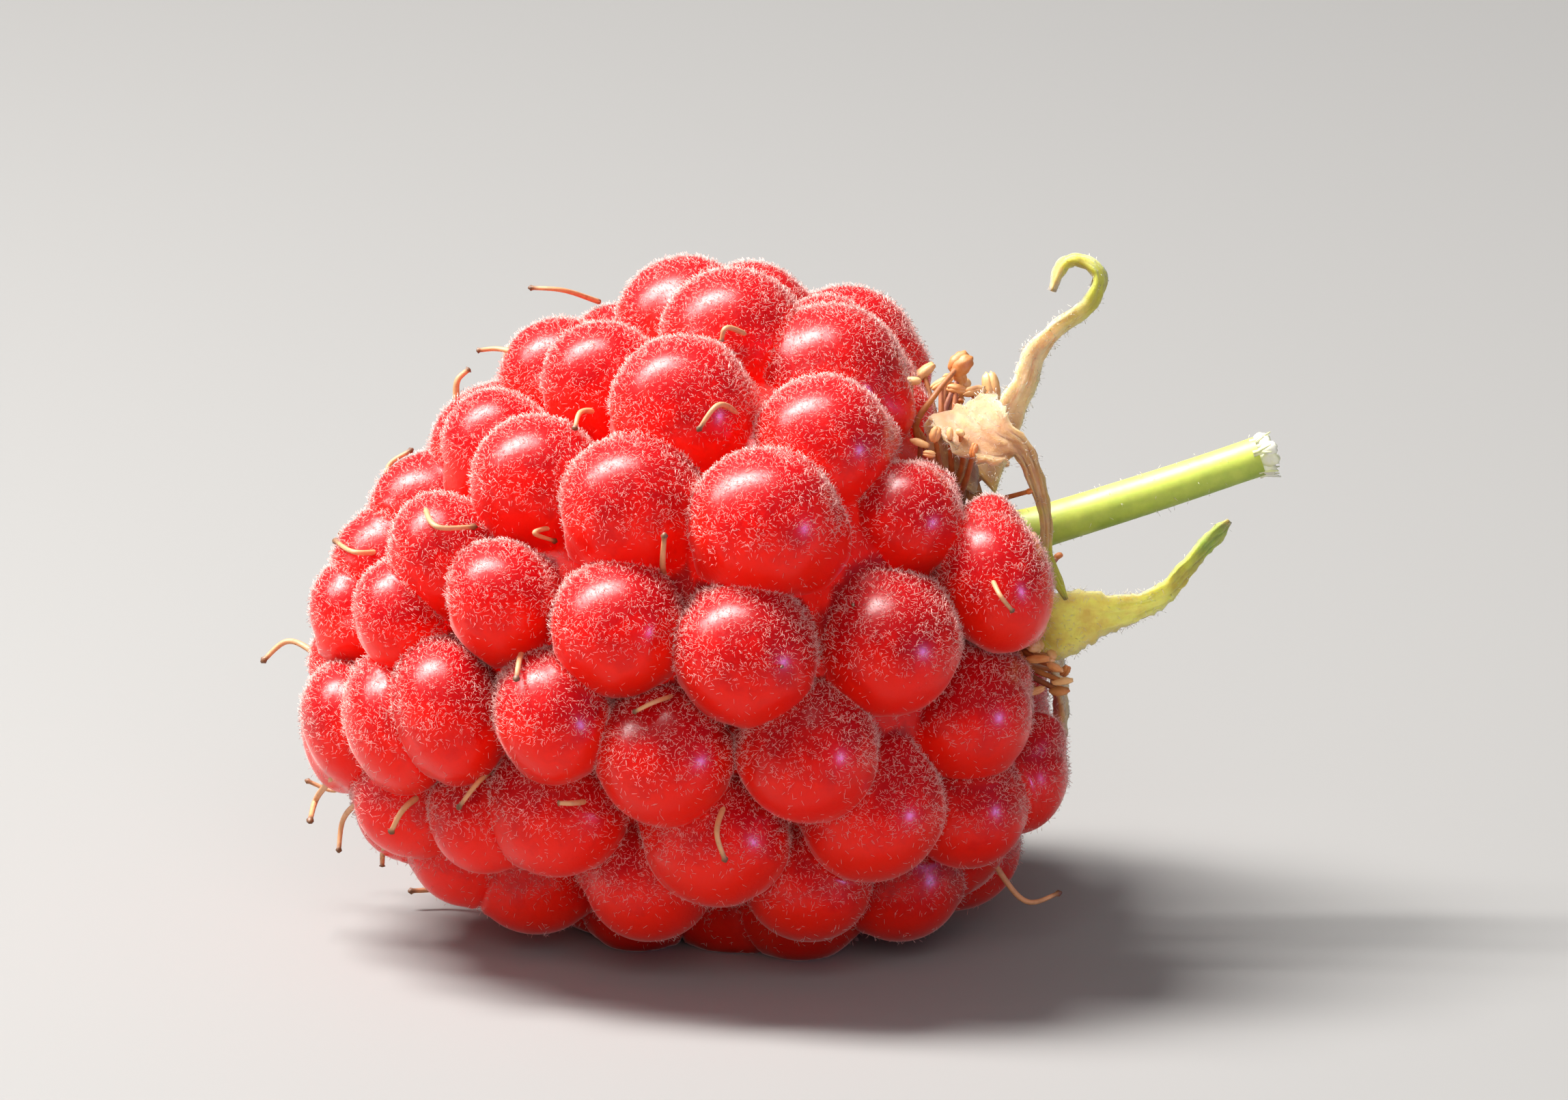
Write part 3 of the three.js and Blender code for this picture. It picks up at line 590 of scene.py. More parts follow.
def curve(points, steps):
    return np.array([curve_point(points, i / steps) for i in range(steps + 1)])


# ---- Where the drupelets sit

def outline(along):
    offset = np.asarray(along, float) - WIDEST_AT
    tip_side = (np.maximum(-offset, 0) / WIDEST_AT) ** TIP_POWER
    calyx_side = (np.maximum(offset, 0) / CALYX_REACH) ** CALYX_POWER
    return HALF_WIDTH * np.sqrt(np.maximum(0, 1 - tip_side - calyx_side))


OUTLINE_PLACES = np.arange(0, OUTLINE_END + 0.5 * OUTLINE_STEP, OUTLINE_STEP)
OUTLINE_WIDTHS = outline(OUTLINE_PLACES)


def centre_out(along, radius):
    """How far from the axis a ball's centre lies when it touches the outline from inside."""
    offset = OUTLINE_PLACES - along
    near = np.abs(offset) < radius
    out = OUTLINE_WIDTHS[near] - np.sqrt(radius * radius - offset[near] ** 2)
    return max(0.0, min(HALF_WIDTH, out.min()))


def placed_drupelet(row, side):
    along, up, radius = row[:3]
    out = row[3] if len(row) > 3 else centre_out(along, radius)
    height = max(-out, min(out, up))
    depth = math.sqrt(max(0, out * out - height * height))
    narrow = row[4] if len(row) > 4 else 1
    centre = np.array([along, side * depth, height])
    return {"centre": centre, "radius": radius, "narrow": narrow, "hidden": False}


def hidden_radius(along, k):
    grow = max(0, min(1, (along - TIP_ENDS) / (BODY_STARTS - TIP_ENDS)))
    shrink = CALYX_SHRINK * max(0, along - CALYX_STARTS)
    size = TIP_RADIUS + (BODY_RADIUS - TIP_RADIUS) * grow - shrink
    return size * (1 + RADIUS_SPREAD * (2 * draw(k + 0.75) - 1))


def roomiest_draw(drupelets, first):
    """The draw that stands furthest from the drupelets so far, for its size."""
    centres = np.array([one["centre"] for one in drupelets])
    radii = np.array([one["radius"] for one in drupelets])
    best = None
    for k in range(first, first + DRAWS_EACH):
        along = HIDDEN_FROM + HIDDEN_SPAN * draw(k)
        radius = hidden_radius(along, k)
        out = centre_out(along, radius)
        turn = 2 * math.pi * draw(k + 0.5)
        centre = np.array([along, -out * math.cos(turn), out * math.sin(turn)])
        if draw(k + 0.25) > out / FULL_WIDTH_OUT + LEAST_KEPT or centre[1] < HIDDEN_DEPTH:
            continue
        room = (np.linalg.norm(centres - centre, axis=1) / (radii + radius)).min()
        if best is None or room > best["room"]:
            best = {"centre": centre, "radius": radius, "narrow": 1, "room": room, "hidden": True}
    return best


def settle(drupelets):
    """Neighbours push each other apart along the berry's surface."""
    centres = np.array([one["centre"] for one in drupelets])
    radii = np.array([one["radius"] for one in drupelets])
    for i, one in enumerate(drupelets):
        if not one["hidden"]:
            continue
        away = centres[i] - centres
        apart = np.linalg.norm(away, axis=1)
        reach = (radii[i] + radii) * SETTLE_REACH
        near = (apart < reach) & (np.arange(len(drupelets)) != i)
        force = (reach[near] - apart[near]) / (reach[near] * apart[near])
        moved = centres[i] + SETTLE_PUSH * (away[near] * force[:, None]).sum(axis=0)
        edge = CALYX_EDGE - CALYX_EDGE_SLOPE * moved[2]
        along = max(HIDDEN_FROM, min(edge, moved[0]))
        depth = max(moved[1], SETTLE_DEPTH)
        share = centre_out(along, one["radius"]) / math.hypot(depth, moved[2])
        centres[i] = (along, depth * share, moved[2] * share)
        one["centre"] = centres[i].copy()


def place_drupelets():
    drupelets = [placed_drupelet(row, -1) for row in FRONT_DRUPELETS]
    drupelets += [placed_drupelet(row, 1) for row in EDGE_DRUPELETS + RESTING_DRUPELETS]
    turn = 0
    while len(drupelets) < DRUPELET_COUNT:
        drupelets.append(roomiest_draw(drupelets, 1 + turn * DRAWS_EACH))
        turn += 1
    for _ in range(SETTLE_ROUNDS):
        settle(drupelets)
    return drupelets


DRUPELETS = place_drupelets()


def outward_of(centre):
    """The way a drupelet grows out of the berry, leaning a little to the nearer end."""
    outward = unit([0, centre[1], centre[2]])
    outward[0] = LEAN_TO_ENDS * (centre[0] - WIDEST_AT) / WIDEST_AT
    return unit(outward)


# ---- Shapes: each is a pair of points and faces

def joined(shapes):
    """Several shapes as one."""
    points, faces, count = [], [], 0
    for shape_points, shape_faces in shapes:
        points.append(np.asarray(shape_points, float))
        faces += [[index + count for index in face] for face in shape_faces]
        count += len(shape_points)
    return np.concatenate(points), faces


def tube(path, radii, sides):
    """A closed round tube along a path, with its radius given at each point."""
    path = np.asarray(path, float)
    radii = np.broadcast_to(radii, len(path))
    tangents = unit(np.gradient(path, axis=0))
    normal = np.cross(tangents[0], np.eye(3)[np.argmin(np.abs(tangents[0]))])
    turns = 2 * math.pi * np.arange(sides) / sides
    rings = []
    for place, tangent, radius in zip(path, tangents, radii):
        normal = unit(normal - tangent * normal.dot(tangent))
        side = np.cross(tangent, normal)
        round_it = np.outer(np.cos(turns), normal) + np.outer(np.sin(turns), side)
        rings.append(place + radius * round_it)
    faces = []
    for ring in range(len(path) - 1):
        for i in range(sides):
            a, b = ring * sides + i, ring * sides + (i + 1) % sides
            faces.append([a, b, b + sides, a + sides])
    last = (len(path) - 1) * sides
    faces.append(list(range(sides))[::-1])
    faces.append([last + i for i in range(sides)])
    return np.concatenate(rings), faces


def axis_tube(places, radii, sides):
    """A tube along the berry's axis, in the part's frame."""
    points, faces = tube(np.stack([places, 0 * places, 0 * places], axis=1), radii, sides)
    return in_part(points), faces


def ball(cells):
    """A unit ball of six square patches, with cells along each side of a patch."""
    bm = bmesh.new()
    bmesh.ops.create_cube(bm, size=2)
    bmesh.ops.subdivide_edges(bm, edges=bm.edges, cuts=cells - 1, use_grid_fill=True)
    points = np.tan(np.array([v.co for v in bm.verts]) * math.pi / 4)
    faces = [[v.index for v in face.verts] for face in bm.faces]
    bm.free()
    return unit(points), faces


def lump(middle, axes, sizes, rng):
    """A shrivelled ball, with its half sizes along three axes, all in the berry's frame."""
    directions, faces = ball(LUMP_CELLS)
    wave = rng.normal(size=3)
    phase = PHASE_SPREAD * rng.random()
    wrinkles = 1 + WRINKLE_HEIGHT * np.sin(WRINKLE_DENSITY * directions @ wave + phase)
    points = middle + (directions * sizes * wrinkles[:, None]) @ axes
    return in_part(points), faces


def mesh_of(name, shape):
    mesh = bpy.data.meshes.new(name)
    mesh.from_pydata(np.asarray(shape[0]).tolist(), [], shape[1])
    mesh.update()
    return mesh


def write_values(mesh, name, values):
    """Keeps a number for each point of a mesh, for its material to read."""
    kept = mesh.attributes.new(name, "FLOAT", "POINT")
    kept.data.foreach_set("value", np.asarray(values, np.float32))


def piece_of(name, mesh, material):
    """A finished piece of the raspberry, riding on its only body."""
    mesh.shade_smooth()
    mesh.materials.append(material)
    piece = bpy.data.objects.new(name, mesh)
    bpy.context.scene.collection.objects.link(piece)
    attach(piece, "root")
    return piece


def add_piece(name, shape, material, slot, **values):
    """A finished piece of a shape, with the values that its material reads."""
    mesh = mesh_of(name, shape)
    for kind, numbers in values.items():
        write_values(mesh, kind, numbers)
    return piece_of(name, mesh, material)


def values_of(mesh, name):
    values = np.empty(len(mesh.vertices), np.float32)
    mesh.attributes[name].data.foreach_get("value", values)
    return values


def points_of(mesh, kind="co"):
    """Each point's place, or with kind "normal" the skin's normal there."""
    points = np.empty(3 * len(mesh.vertices), np.float32)
    mesh.vertices.foreach_get(kind, points)
    return points.reshape(-1, 3).astype(float)


# ---- Fine hairs

def roots_on(mesh, count, rng, weights):
    """Points spread over a mesh, with the skin's normal there. weights says how thickly, by point."""
    mesh.calc_loop_triangles()
    corners = np.empty(3 * len(mesh.loop_triangles), np.int32)
    mesh.loop_triangles.foreach_get("vertices", corners)
    corners = corners.reshape(-1, 3)
    points, normals = points_of(mesh), points_of(mesh, "normal")
    a, b, c = (points[corners[:, i]] for i in range(3))
    areas = np.linalg.norm(np.cross(b - a, c - a), axis=1) * weights[corners].mean(axis=1)
    chosen = rng.choice(len(corners), count, p=areas / areas.sum())
    share = rng.dirichlet((1, 1, 1), count)[:, :, None]
    roots = (points[corners[chosen]] * share).sum(axis=1)
    return roots, unit((normals[corners[chosen]] * share).sum(axis=1))


def sprouts(mesh, count, weights, longest, shortest, angles, rng):
    """Roots, normals, lengths and lifts of hairs spread over a mesh, with angles in degrees."""
    roots, normals = roots_on(mesh, count, rng, weights)
    lengths = longest * rng.uniform(shortest, 1.0, count)
    lifts = np.radians(rng.uniform(*angles, count))
    return roots, normals, lengths, lifts


def hairs(roots, normals, lengths, lifts, radius, rng):
    """Thin slivers of four faces. Each stands off the skin by its lift, as an angle."""
    count = len(roots)
    aside = unit(np.cross(normals, rng.normal(size=(count, 3))))
    along = np.cos(lifts)[:, None] * aside + np.sin(lifts)[:, None] * normals
    across = np.cross(normals, aside)
    up = np.cross(along, across)
    start = roots - HAIR_SINK * lengths[:, None] * normals
    tip = start + lengths[:, None] * along
    points = np.stack(
        [start + radius * across, start - radius * across, tip + radius * up, tip - radius * up],
        axis=1,
    )
    faces = np.array([[0, 1, 2], [1, 0, 3], [2, 3, 0], [3, 2, 1]])
    faces = faces[None] + 4 * np.arange(count)[:, None, None]
    return points.reshape(-1, 3), faces.reshape(-1, 3).tolist()


# ---- Materials

def node(tree, kind, inputs=None, **settings):
    """A new node with its settings, and its inputs as numbers or as the outputs that feed them."""
    made = tree.nodes.new("ShaderNode" + kind)
    for name, value in settings.items():
        setattr(made, name, value)
    for name, value in (inputs or {}).items():
        if isinstance(value, bpy.types.NodeSocket):
            tree.links.new(value, made.inputs[name])
        else:
            made.inputs[name].default_value = value
    return made


def new_material(name):
    material = bpy.data.materials.new(name)
    material.use_nodes = True
    material.node_tree.nodes.clear()
    return material, material.node_tree


def finish_material(tree, inputs):
    shader = node(tree, "BsdfPrincipled", inputs)
    output = node(tree, "OutputMaterial")
    tree.links.new(shader.outputs["BSDF"], output.inputs["Surface"])


def opaque(colour):
    return (*colour, 1)


def noise(tree, scale, detail=3, roughness=0.5):
    """Noise with about scale patches to the metre, in the part's own frame."""
    place = node(tree, "TexCoord").outputs["Object"]
    inputs = {"Vector": place, "Scale": scale, "Detail": detail, "Roughness": roughness}
    return node(tree, "TexNoise", inputs).outputs["Fac"]


def stretched(tree, value, low, high, start=0.0, end=1.0):
    """The value moved from the range low to high to the range start to end."""
    inputs = {"Value": value, "From Min": low, "From Max": high, "To Min": start, "To Max": end}
    return node(tree, "MapRange", inputs).outputs["Result"]


def grained(tree, grain, start, end):
    """Noise spread over the range start to end."""
    return stretched(tree, grain, *GRAIN_SPAN, start, end)


def blended(tree, share, first, second, mode="MIX"):
    mix = node(tree, "Mix", data_type="RGBA", blend_type=mode)
    for socket, value in (("Factor_Float", share), ("A_Color", first), ("B_Color", second)):
        target = next(s for s in mix.inputs if s.identifier == socket)
        if isinstance(value, bpy.types.NodeSocket):
            tree.links.new(value, target)
        else:
            target.default_value = value
    return next(s for s in mix.outputs if s.identifier == "Result_Color")


def summed(tree, first, second, clamp=False):
    inputs = {0: first, 1: second}
    return node(tree, "Math", inputs, operation="ADD", use_clamp=clamp).outputs["Value"]


def value_of(tree, name):
    return node(tree, "Attribute", attribute_name=name).outputs["Fac"]


def bump(tree, height, distance, strength=1.0):
    inputs = {"Height": height, "Distance": distance, "Strength": strength}
    return node(tree, "Bump", inputs).outputs["Normal"]


def skin_material(settings):
    """Ripe translucent skin: darker crowns, painted glow on the lower sides and paler seams painted
    as glow.
    """
    material, tree = new_material("ripe_skin")
    patches = stretched(tree, noise(tree, 900, 4, 0.6), 0.35, 0.65, -0.15, 0.15)
    # Each drupelet runs from its crown colour down to painted glow on its lower side
    low = stretched(tree, summed(tree, value_of(tree, "underside"), patches), 0.25, 0.65)
    colour = blended(tree, low, opaque(settings.crown), opaque(settings.painted_glow))
    ripeness = stretched(tree, value_of(tree, "ripeness"), 0, 1, 0, 0.3)
    colour = blended(tree, ripeness, colour, opaque(settings.crown), "MULTIPLY")
    # Painted glow where drupelets meet
    seam = stretched(tree, value_of(tree, "seam"), 0, 1, 0, 0.45)
    colour = blended(tree, seam, colour, opaque(settings.seam))
    grain = noise(tree, 9000, 3, 0.6)
    finish_material(tree, {
        "Base Color": colour,
        "Subsurface Weight": 1.0,
        "Subsurface Radius": (1.0, 0.09, 0.07),
        "Subsurface Scale": settings.flesh_depth,
        "Roughness": grained(tree, grain, 0.45, 0.6),
        "IOR": 1.3,
        "Specular IOR Level": 0.1,
        "Sheen Weight": 0.7,
        "Sheen Roughness": 0.2,
        "Sheen Tint": (1.0, 0.55, 0.52, 1),
        "Coat Weight": 1.0,
        "Coat Roughness": 0.27,
        "Coat IOR": 1.27,
        "Normal": bump(tree, grain, 0.00004, 0.5),
    })
    return material


def hair_material(name, colour):
    material, tree = new_material(name)
    finish_material(tree, {
        "Base Color": opaque(colour),
        "Roughness": grained(tree, noise(tree, 3000), 0.35, 0.6),
        "Specular IOR Level": 0.4,
    })
    return material


def dry_material(name, light, dark, grain_scale, relief):
    """Dry plant fibre that runs from one colour to another by its darkness."""
    material, tree = new_material(name)
    grain = noise(tree, grain_scale, 4, 0.6)
    uneven = grained(tree, grain, -0.25, 0.25)
    share = summed(tree, value_of(tree, "darkness"), uneven, clamp=True)
    finish_material(tree, {
        "Base Color": blended(tree, share, opaque(light), opaque(dark)),
        "Roughness": grained(tree, grain, 0.45, 0.75),
        "Normal": bump(tree, grain, relief, 0.6),
    })
    return material


def sepal_material(name, stops, settings):
    """A felted blade whose colour changes along its length and pales at its margins."""
    material, tree = new_material(name)
    grain = noise(tree, 2500, 5, 0.65)
    blotches = grained(tree, noise(tree, 700, 3, 0.6), -0.07, 0.07)
    colours = node(tree, "ValToRGB", {"Fac": summed(tree, value_of(tree, "along"), blotches)})
    elements = colours.color_ramp.elements
    while len(elements) < len(stops):
        elements.new(0.5)
    for element, (place, colour) in zip(elements, stops):
        element.position = place
        element.color = opaque(getattr(settings, colour))
    darker = stretched(tree, noise(tree, 1500, 5, 0.65), 0.38, 0.6, 0.5, 0.0)
    colour = blended(tree, darker, colours.outputs["Color"], opaque(settings.tan), "MULTIPLY")
    margin = stretched(tree, value_of(tree, "margin"), 0.6, 1.0, 0, 0.5)
    colour = blended(tree, margin, colour, opaque(settings.cream))
    finish_material(tree, {
        "Base Color": colour,
        "Subsurface Weight": 0.8,
        "Subsurface Radius": (1.0, 0.8, 0.4),
        "Subsurface Scale": 0.5 * MM,
        "Roughness": grained(tree, grain, 0.55, 0.85),
        "Sheen Weight": 0.4,
        "Sheen Roughness": 0.5,
        "Normal": bump(tree, grain, 0.00006, 0.7),
    })
    return material


def stalk_material(settings):
    """Smooth green stem with faint lengthwise streaks, painted paler on its upper side as painted
    light and darker below as painted shade.
    """
    material, tree = new_material("green_stem")
    streaks = noise(tree, 1400, 4, 0.6)
    uneven = grained(tree, streaks, -0.2, 0.2)
    # How low a point lies on the stalk's round sets its painted shade below and painted light above
    share = summed(tree, value_of(tree, "underside"), uneven, clamp=True)
    light, dark = opaque(settings.pale_green_and_lit_top), opaque(settings.dark_green_and_shade)
    finish_material(tree, {
        "Base Color": blended(tree, share, light, dark),
        "Subsurface Weight": 0.5,
        "Subsurface Radius": (0.6, 1.0, 0.2),
        "Subsurface Scale": 0.4 * MM,
        "Roughness": grained(tree, streaks, 0.38, 0.55),
        "Normal": bump(tree, streaks, 0.00003, 0.5),
    })
    return material


# ---- Fruit

def core_shape():
    places = np.linspace(CORE_FROM, CORE_TO, CORE_STEPS)
    end = CORE_END_RADIUS + CORE_END_SLOPE * (CORE_TO - places)
    return axis_tube(places, np.minimum(outline(places) - CORE_DEPTH, end), CORE_SIDES)


def gaps_between(points):
    """How far each point in the berry's frame lies outside each drupelet."""
    centres = np.array([one["centre"] for one in DRUPELETS])
    radii = np.array([one["radius"] for one in DRUPELETS])
    narrow = np.array([[one["narrow"], 1, 1] for one in DRUPELETS])
    away = (points[:, None] - centres[None]) / narrow[None]
    return np.linalg.norm(away, axis=2) - radii[None]


def drupelet_points(directions, k, press):
    """A drupelet presses into the gaps beside it, and is never quite round."""
    one = DRUPELETS[k]
    rng = np.random.default_rng(SEED + k)
    waves = rng.normal(size=(3, 3)) * WAVE_DENSITY
    lumps = sum(np.sin(directions @ wave + PHASE_SPREAD * rng.random()) for wave in waves)
    radius = one["radius"] * (1 + WAVE_HEIGHT * lumps)
    points = one["centre"] + directions * radius[:, None] * [one["narrow"], 1, 1]
    gaps = np.maximum(np.delete(gaps_between(points), k, axis=1).min(axis=1), 0)
    deep = 1 - ramp(directions @ outward_of(one["centre"]), *ROOT_BELOW)
    share = np.maximum(1 - ramp(gaps, *CROWN_GAPS), deep * (1 - ramp(gaps, *ROOT_GAPS)))
    return points + directions * (press * gaps * share)[:, None]


def fused_skin(name, shapes):
    """The one outer skin round several overlapping closed shapes, given in the part's frame."""
    parts = bpy.data.collections.new(name + "_parts")
    for i, shape in enumerate(shapes):
        parts.objects.link(bpy.data.objects.new(f"{name}_part_{i}", mesh_of(name, shape)))
    whole = parts.objects[0]
    parts.objects.unlink(whole)
    bpy.context.scene.collection.objects.link(whole)
    union = whole.modifiers.new("union", "BOOLEAN")
    union.operation = "UNION"
    union.operand_type = "COLLECTION"
    union.collection = parts
    union.solver = "MANIFOLD"
    bpy.context.view_layer.update()
    fused = whole.evaluated_get(bpy.context.evaluated_depsgraph_get())
    skin = bpy.data.meshes.new_from_object(fused)
    if len(skin.polygons) < len(whole.data.polygons):
        raise RuntimeError(f"the parts of {name} could not be joined")
    for part in [whole, *parts.objects]:
        bpy.data.meshes.remove(part.data)
    bpy.data.collections.remove(parts)
    return skin


def note_drupelets(mesh):
    """Keeps where each point lies on its own drupelet, for the skin's colours."""
    points = points_of(mesh)
    centres = np.array([one["centre"] for one in DRUPELETS])
    gaps = gaps_between((points / MM - SHIFT) @ TURN)
    order = np.argsort(gaps, axis=1)
    own, rows = order[:, 0], np.arange(len(points))
    height = unit(points - in_part(centres)[own])[:, 2]
    apart = gaps[rows, order[:, 1]] - gaps[rows, own]
    ripeness = np.array([draw(k + 0.35) for k in range(len(DRUPELETS))])
    # underside steers the painted glow on each drupelet's lower side and seam the painted glow where
    # drupelets meet; both also steer the down
    write_values(mesh, "underside", 0.5 - 0.5 * height)
    write_values(mesh, "seam", 1 - ramp(apart, 0.0, SEAM_REACH))
    write_values(mesh, "ripeness", ripeness[own])


class RASPBERRY_OT_drupelets(bpy.types.Operator):
    """Builds the drupelets, pressed together in one skin round their core"""

    bl_idname = "raspberry.drupelets"
    bl_label = "Drupelets"

    def execute(self, context):
        settings = context.scene.raspberry_fruit
        directions, faces = ball(settings.skin_cells)
        shapes = [core_shape()]
        for k in range(len(DRUPELETS)):
            points = in_part(drupelet_points(directions, k, settings.press))
            points[:, 2] = np.maximum(points[:, 2], 0)
            shapes.append((points, faces))
        mesh = fused_skin("drupelet_cluster", shapes)
        mesh.materials.clear()
        note_drupelets(mesh)
        piece = piece_of("drupelet_cluster", mesh, skin_material(settings))
        mesh.set_sharp_from_angle(angle=math.radians(SEAM_ANGLE))
        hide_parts("drupelets")
        return {"FINISHED"}


def front_point(place, lift):
    """The skin's point nearest the front at a place along and up, moved lift towards the front."""
    along, up = place
    front, nearest = math.inf, (math.inf, 0)
    for one in DRUPELETS:
        x, y, z = one["centre"]
        aside = math.hypot((along - x) / one["narrow"], up - z)
        if aside < one["radius"]:
            front = min(front, y - math.sqrt(one["radius"] ** 2 - aside**2))
        nearest = min(nearest, (aside - one["radius"], y))
    return [along, nearest[1] if front == math.inf else front - lift, up]


def hidden_style(one, k):
    """A style on a hidden drupelet rises beside its middle and hooks over."""
    outward = outward_of(one["centre"])
    turn = 2 * math.pi * draw(k + 0.3)
    aside = np.array([math.cos(turn), 0, math.sin(turn)])
    aside = unit(aside - outward * aside.dot(outward))
    hook = np.array(Matrix.Rotation(HOOK_TURN * (draw(k + 0.6) - 0.5), 3, Vector(outward))) @ aside
    length = HIDDEN_STYLE_LENGTH * (1 + LENGTH_SPREAD * (2 * draw(k + 0.9) - 1))
    root = one["centre"] + one["radius"] * (ROOT_OUT * outward + ROOT_ASIDE * aside)
    middle = root + length * (MIDDLE_OUT * outward + MIDDLE_ASIDE * aside)
    knob = middle + length * (HOOK_ASIDE * hook + HOOK_OUT * outward)
    return [root - STYLE_SINK * outward, middle, knob]


def style_rows():
    rows = [[front_point(p, lift) for p, lift in zip(row, STYLE_LIFTS)] for row in FRONT_STYLES]
    hidden = [one for one in DRUPELETS if one["hidden"]]
    rows += [hidden_style(one, k) for k, one in enumerate(hidden)]
    return [row for row in rows if in_part(row)[:, 2].min() > GROUND_CLEAR * MM]


class RASPBERRY_OT_styles(bpy.types.Operator):
    """Builds the dried styles, each with its knob"""

    bl_idname = "raspberry.styles"
    bl_label = "Dried styles"

    def execute(self, context):
        settings = context.scene.raspberry_fruit
        places = np.linspace(0, 1, STYLE_STEPS + 1)
        knob = np.exp(-(((places - KNOB_MIDDLE) / KNOB_REACH) ** 2))
        profile = STYLE_GIRTH - STYLE_NARROWS * places + KNOB_ADDS * knob
        profile[-1] = KNOB_END
        shapes = []
        for k, row in enumerate(style_rows()):
            girth = LEAST_GIRTH + GIRTH_SPREAD * draw(k + 0.15)
            path = in_part(curve(row, STYLE_STEPS))
            shapes.append(tube(path, settings.style_radius * profile * girth, STYLE_SIDES))
        tones = np.tile(np.repeat(ramp(places, *KNOB_DARKENS), STYLE_SIDES), len(shapes))
        material = dry_material(
            "dried_style", settings.style_light, settings.style_dark, 4000, 0.00003,
        )
        add_piece("dried_styles", joined(shapes), material, "stamen", darkness=tones)
        return {"FINISHED"}


class RASPBERRY_OT_down(bpy.types.Operator):
    """Covers the drupelets in fine pale down"""

    bl_idname = "raspberry.down"
    bl_label = "Down"

    def execute(self, context):
        settings = context.scene.raspberry_down
        skin = bpy.data.objects["drupelet_cluster"].data
        rng = np.random.default_rng(SEED)
        above = ramp(points_of(skin)[:, 2], *(height * MM for height in DOWN_HEIGHTS))
        upper = 1 - DOWN_LOSS * ramp(values_of(skin, "underside"), *DOWN_THINS)
        weights = above * upper * (1 + SEAM_GAIN * values_of(skin, "seam"))
        down = sprouts(skin, settings.fruit_hairs, weights, settings.hair_length,
                       DOWN_SHORTEST, DOWN_LIFTS, rng)
        material = hair_material("berry_down", settings.hair_colour)
        order = np.argsort(down[0][:, 0], kind="stable")
        for i, part in enumerate(np.array_split(order, DOWN_PIECES)):
            shape = hairs(*(values[part] for values in down), settings.hair_radius, rng)
            add_piece(f"down_{i + 1}", shape, material, "drupelet")
        return {"FINISHED"}


# ---- Calyx end

def fray(offset, step, k, ragged):
    """How wide a blade is at one step, as a share of its width without torn margins."""
    edge = 1 if offset > 0 else -1
    torn = 2 * draw(97 * k + 3 * step + edge) - 1
    return 1 + ragged * torn * min(1, 4 * step / SEPAL_STEPS) * abs(offset) ** 3


def wrinkle(offset, t, k):
    """Two waves that cross a blade, flat at its root."""
    return (math.sin(9 * offset + 31 * t + k) + math.sin(17 * offset - 23 * t)) * min(1, 3 * t)


def sepal_shape(row, k, settings):
    """A blade along a spine, thin at its ragged margins. Also gives each point's place on it."""
    points, along, margin = [[], []], [], []
    middle_half = 0.5 * settings.sepal_thickness / MM
    margin_half = 0.5 * settings.margin_thickness / MM
    given = np.linspace(0, 1, len(row["widths"]))
    widths = np.interp(np.linspace(0, 1, SEPAL_STEPS + 1), given, row["widths"])
    spine = curve(row["spine"], SEPAL_STEPS)
    tangents = unit(np.gradient(spine, axis=0))
    for step in range(SEPAL_STEPS + 1):
        t = step / SEPAL_STEPS
        side = curve_point(row["across"], t)
        side = unit(side - tangents[step] * side.dot(tangents[step]))
        normal = np.cross(tangents[step], side)
        half = 0.5 * widths[step] * (1 - TIP_NARROWS * ramp(t, 0.93, 1.02))
        for cell in range(SEPAL_CELLS + 1):
            offset = 2 * cell / SEPAL_CELLS - 1
            place = spine[step] + side * offset * half * fray(offset, step, k, settings.ragged)
            crumple = row.get("crumple", SEPAL_CRUMPLE) * wrinkle(offset, t, k)
            place = place + normal * (SEPAL_CUP * half * offset * offset + crumple)
            thick = middle_half + (margin_half - middle_half) * abs(offset) ** MARGIN_POWER
            thick *= 1 - TIP_THINS * ramp(t, 0.9, 1.0)
            points[0].append(place + normal * thick)
            points[1].append(place - normal * thick)
            along.append(t)
            margin.append(abs(offset) * (1 - MARGIN_FADES * ramp(t, 0.45, 0.65)))
    return (in_part(points[0] + points[1]), blade_faces()), along * 2, margin * 2


def blade_faces():
    """Faces of two like grids of points, closed round their edge."""
    across = SEPAL_CELLS + 1
    lower = (SEPAL_STEPS + 1) * across
    faces = []
    for step in range(SEPAL_STEPS):
        for cell in range(SEPAL_CELLS):
            a = step * across + cell
            faces.append([a, a + across, a + across + 1, a + 1])
            faces.append([lower + a, lower + a + 1, lower + a + across + 1, lower + a + across])
        left, right = step * across, step * across + SEPAL_CELLS
        faces.append([left, lower + left, lower + left + across, left + across])
        faces.append([right, right + across, lower + right + across, lower + right])
    last = SEPAL_STEPS * across
    for cell in range(SEPAL_CELLS):
        faces.append([cell, cell + 1, lower + cell + 1, lower + cell])
        a = last + cell
        faces.append([a, lower + a, lower + a + 1, a + 1])
    return faces


def felt_on(mesh, along, margin, radius, rng):
    """Felt on a blade, thickest at its margins and thin on its outer part."""
    weights = FELT_IN_MIDDLE + FELT_MARGIN_GAIN * ramp(np.array(margin), 0.7, 1.0)
    weights *= 1 - FELT_OUTER_LOSS * ramp(np.array(along), 0.5, 0.8)
    felt = sprouts(mesh, FELT_HAIRS, weights, FELT_LENGTH * MM, FELT_SHORTEST, FELT_LIFTS, rng)
    return hairs(*felt, radius, rng)


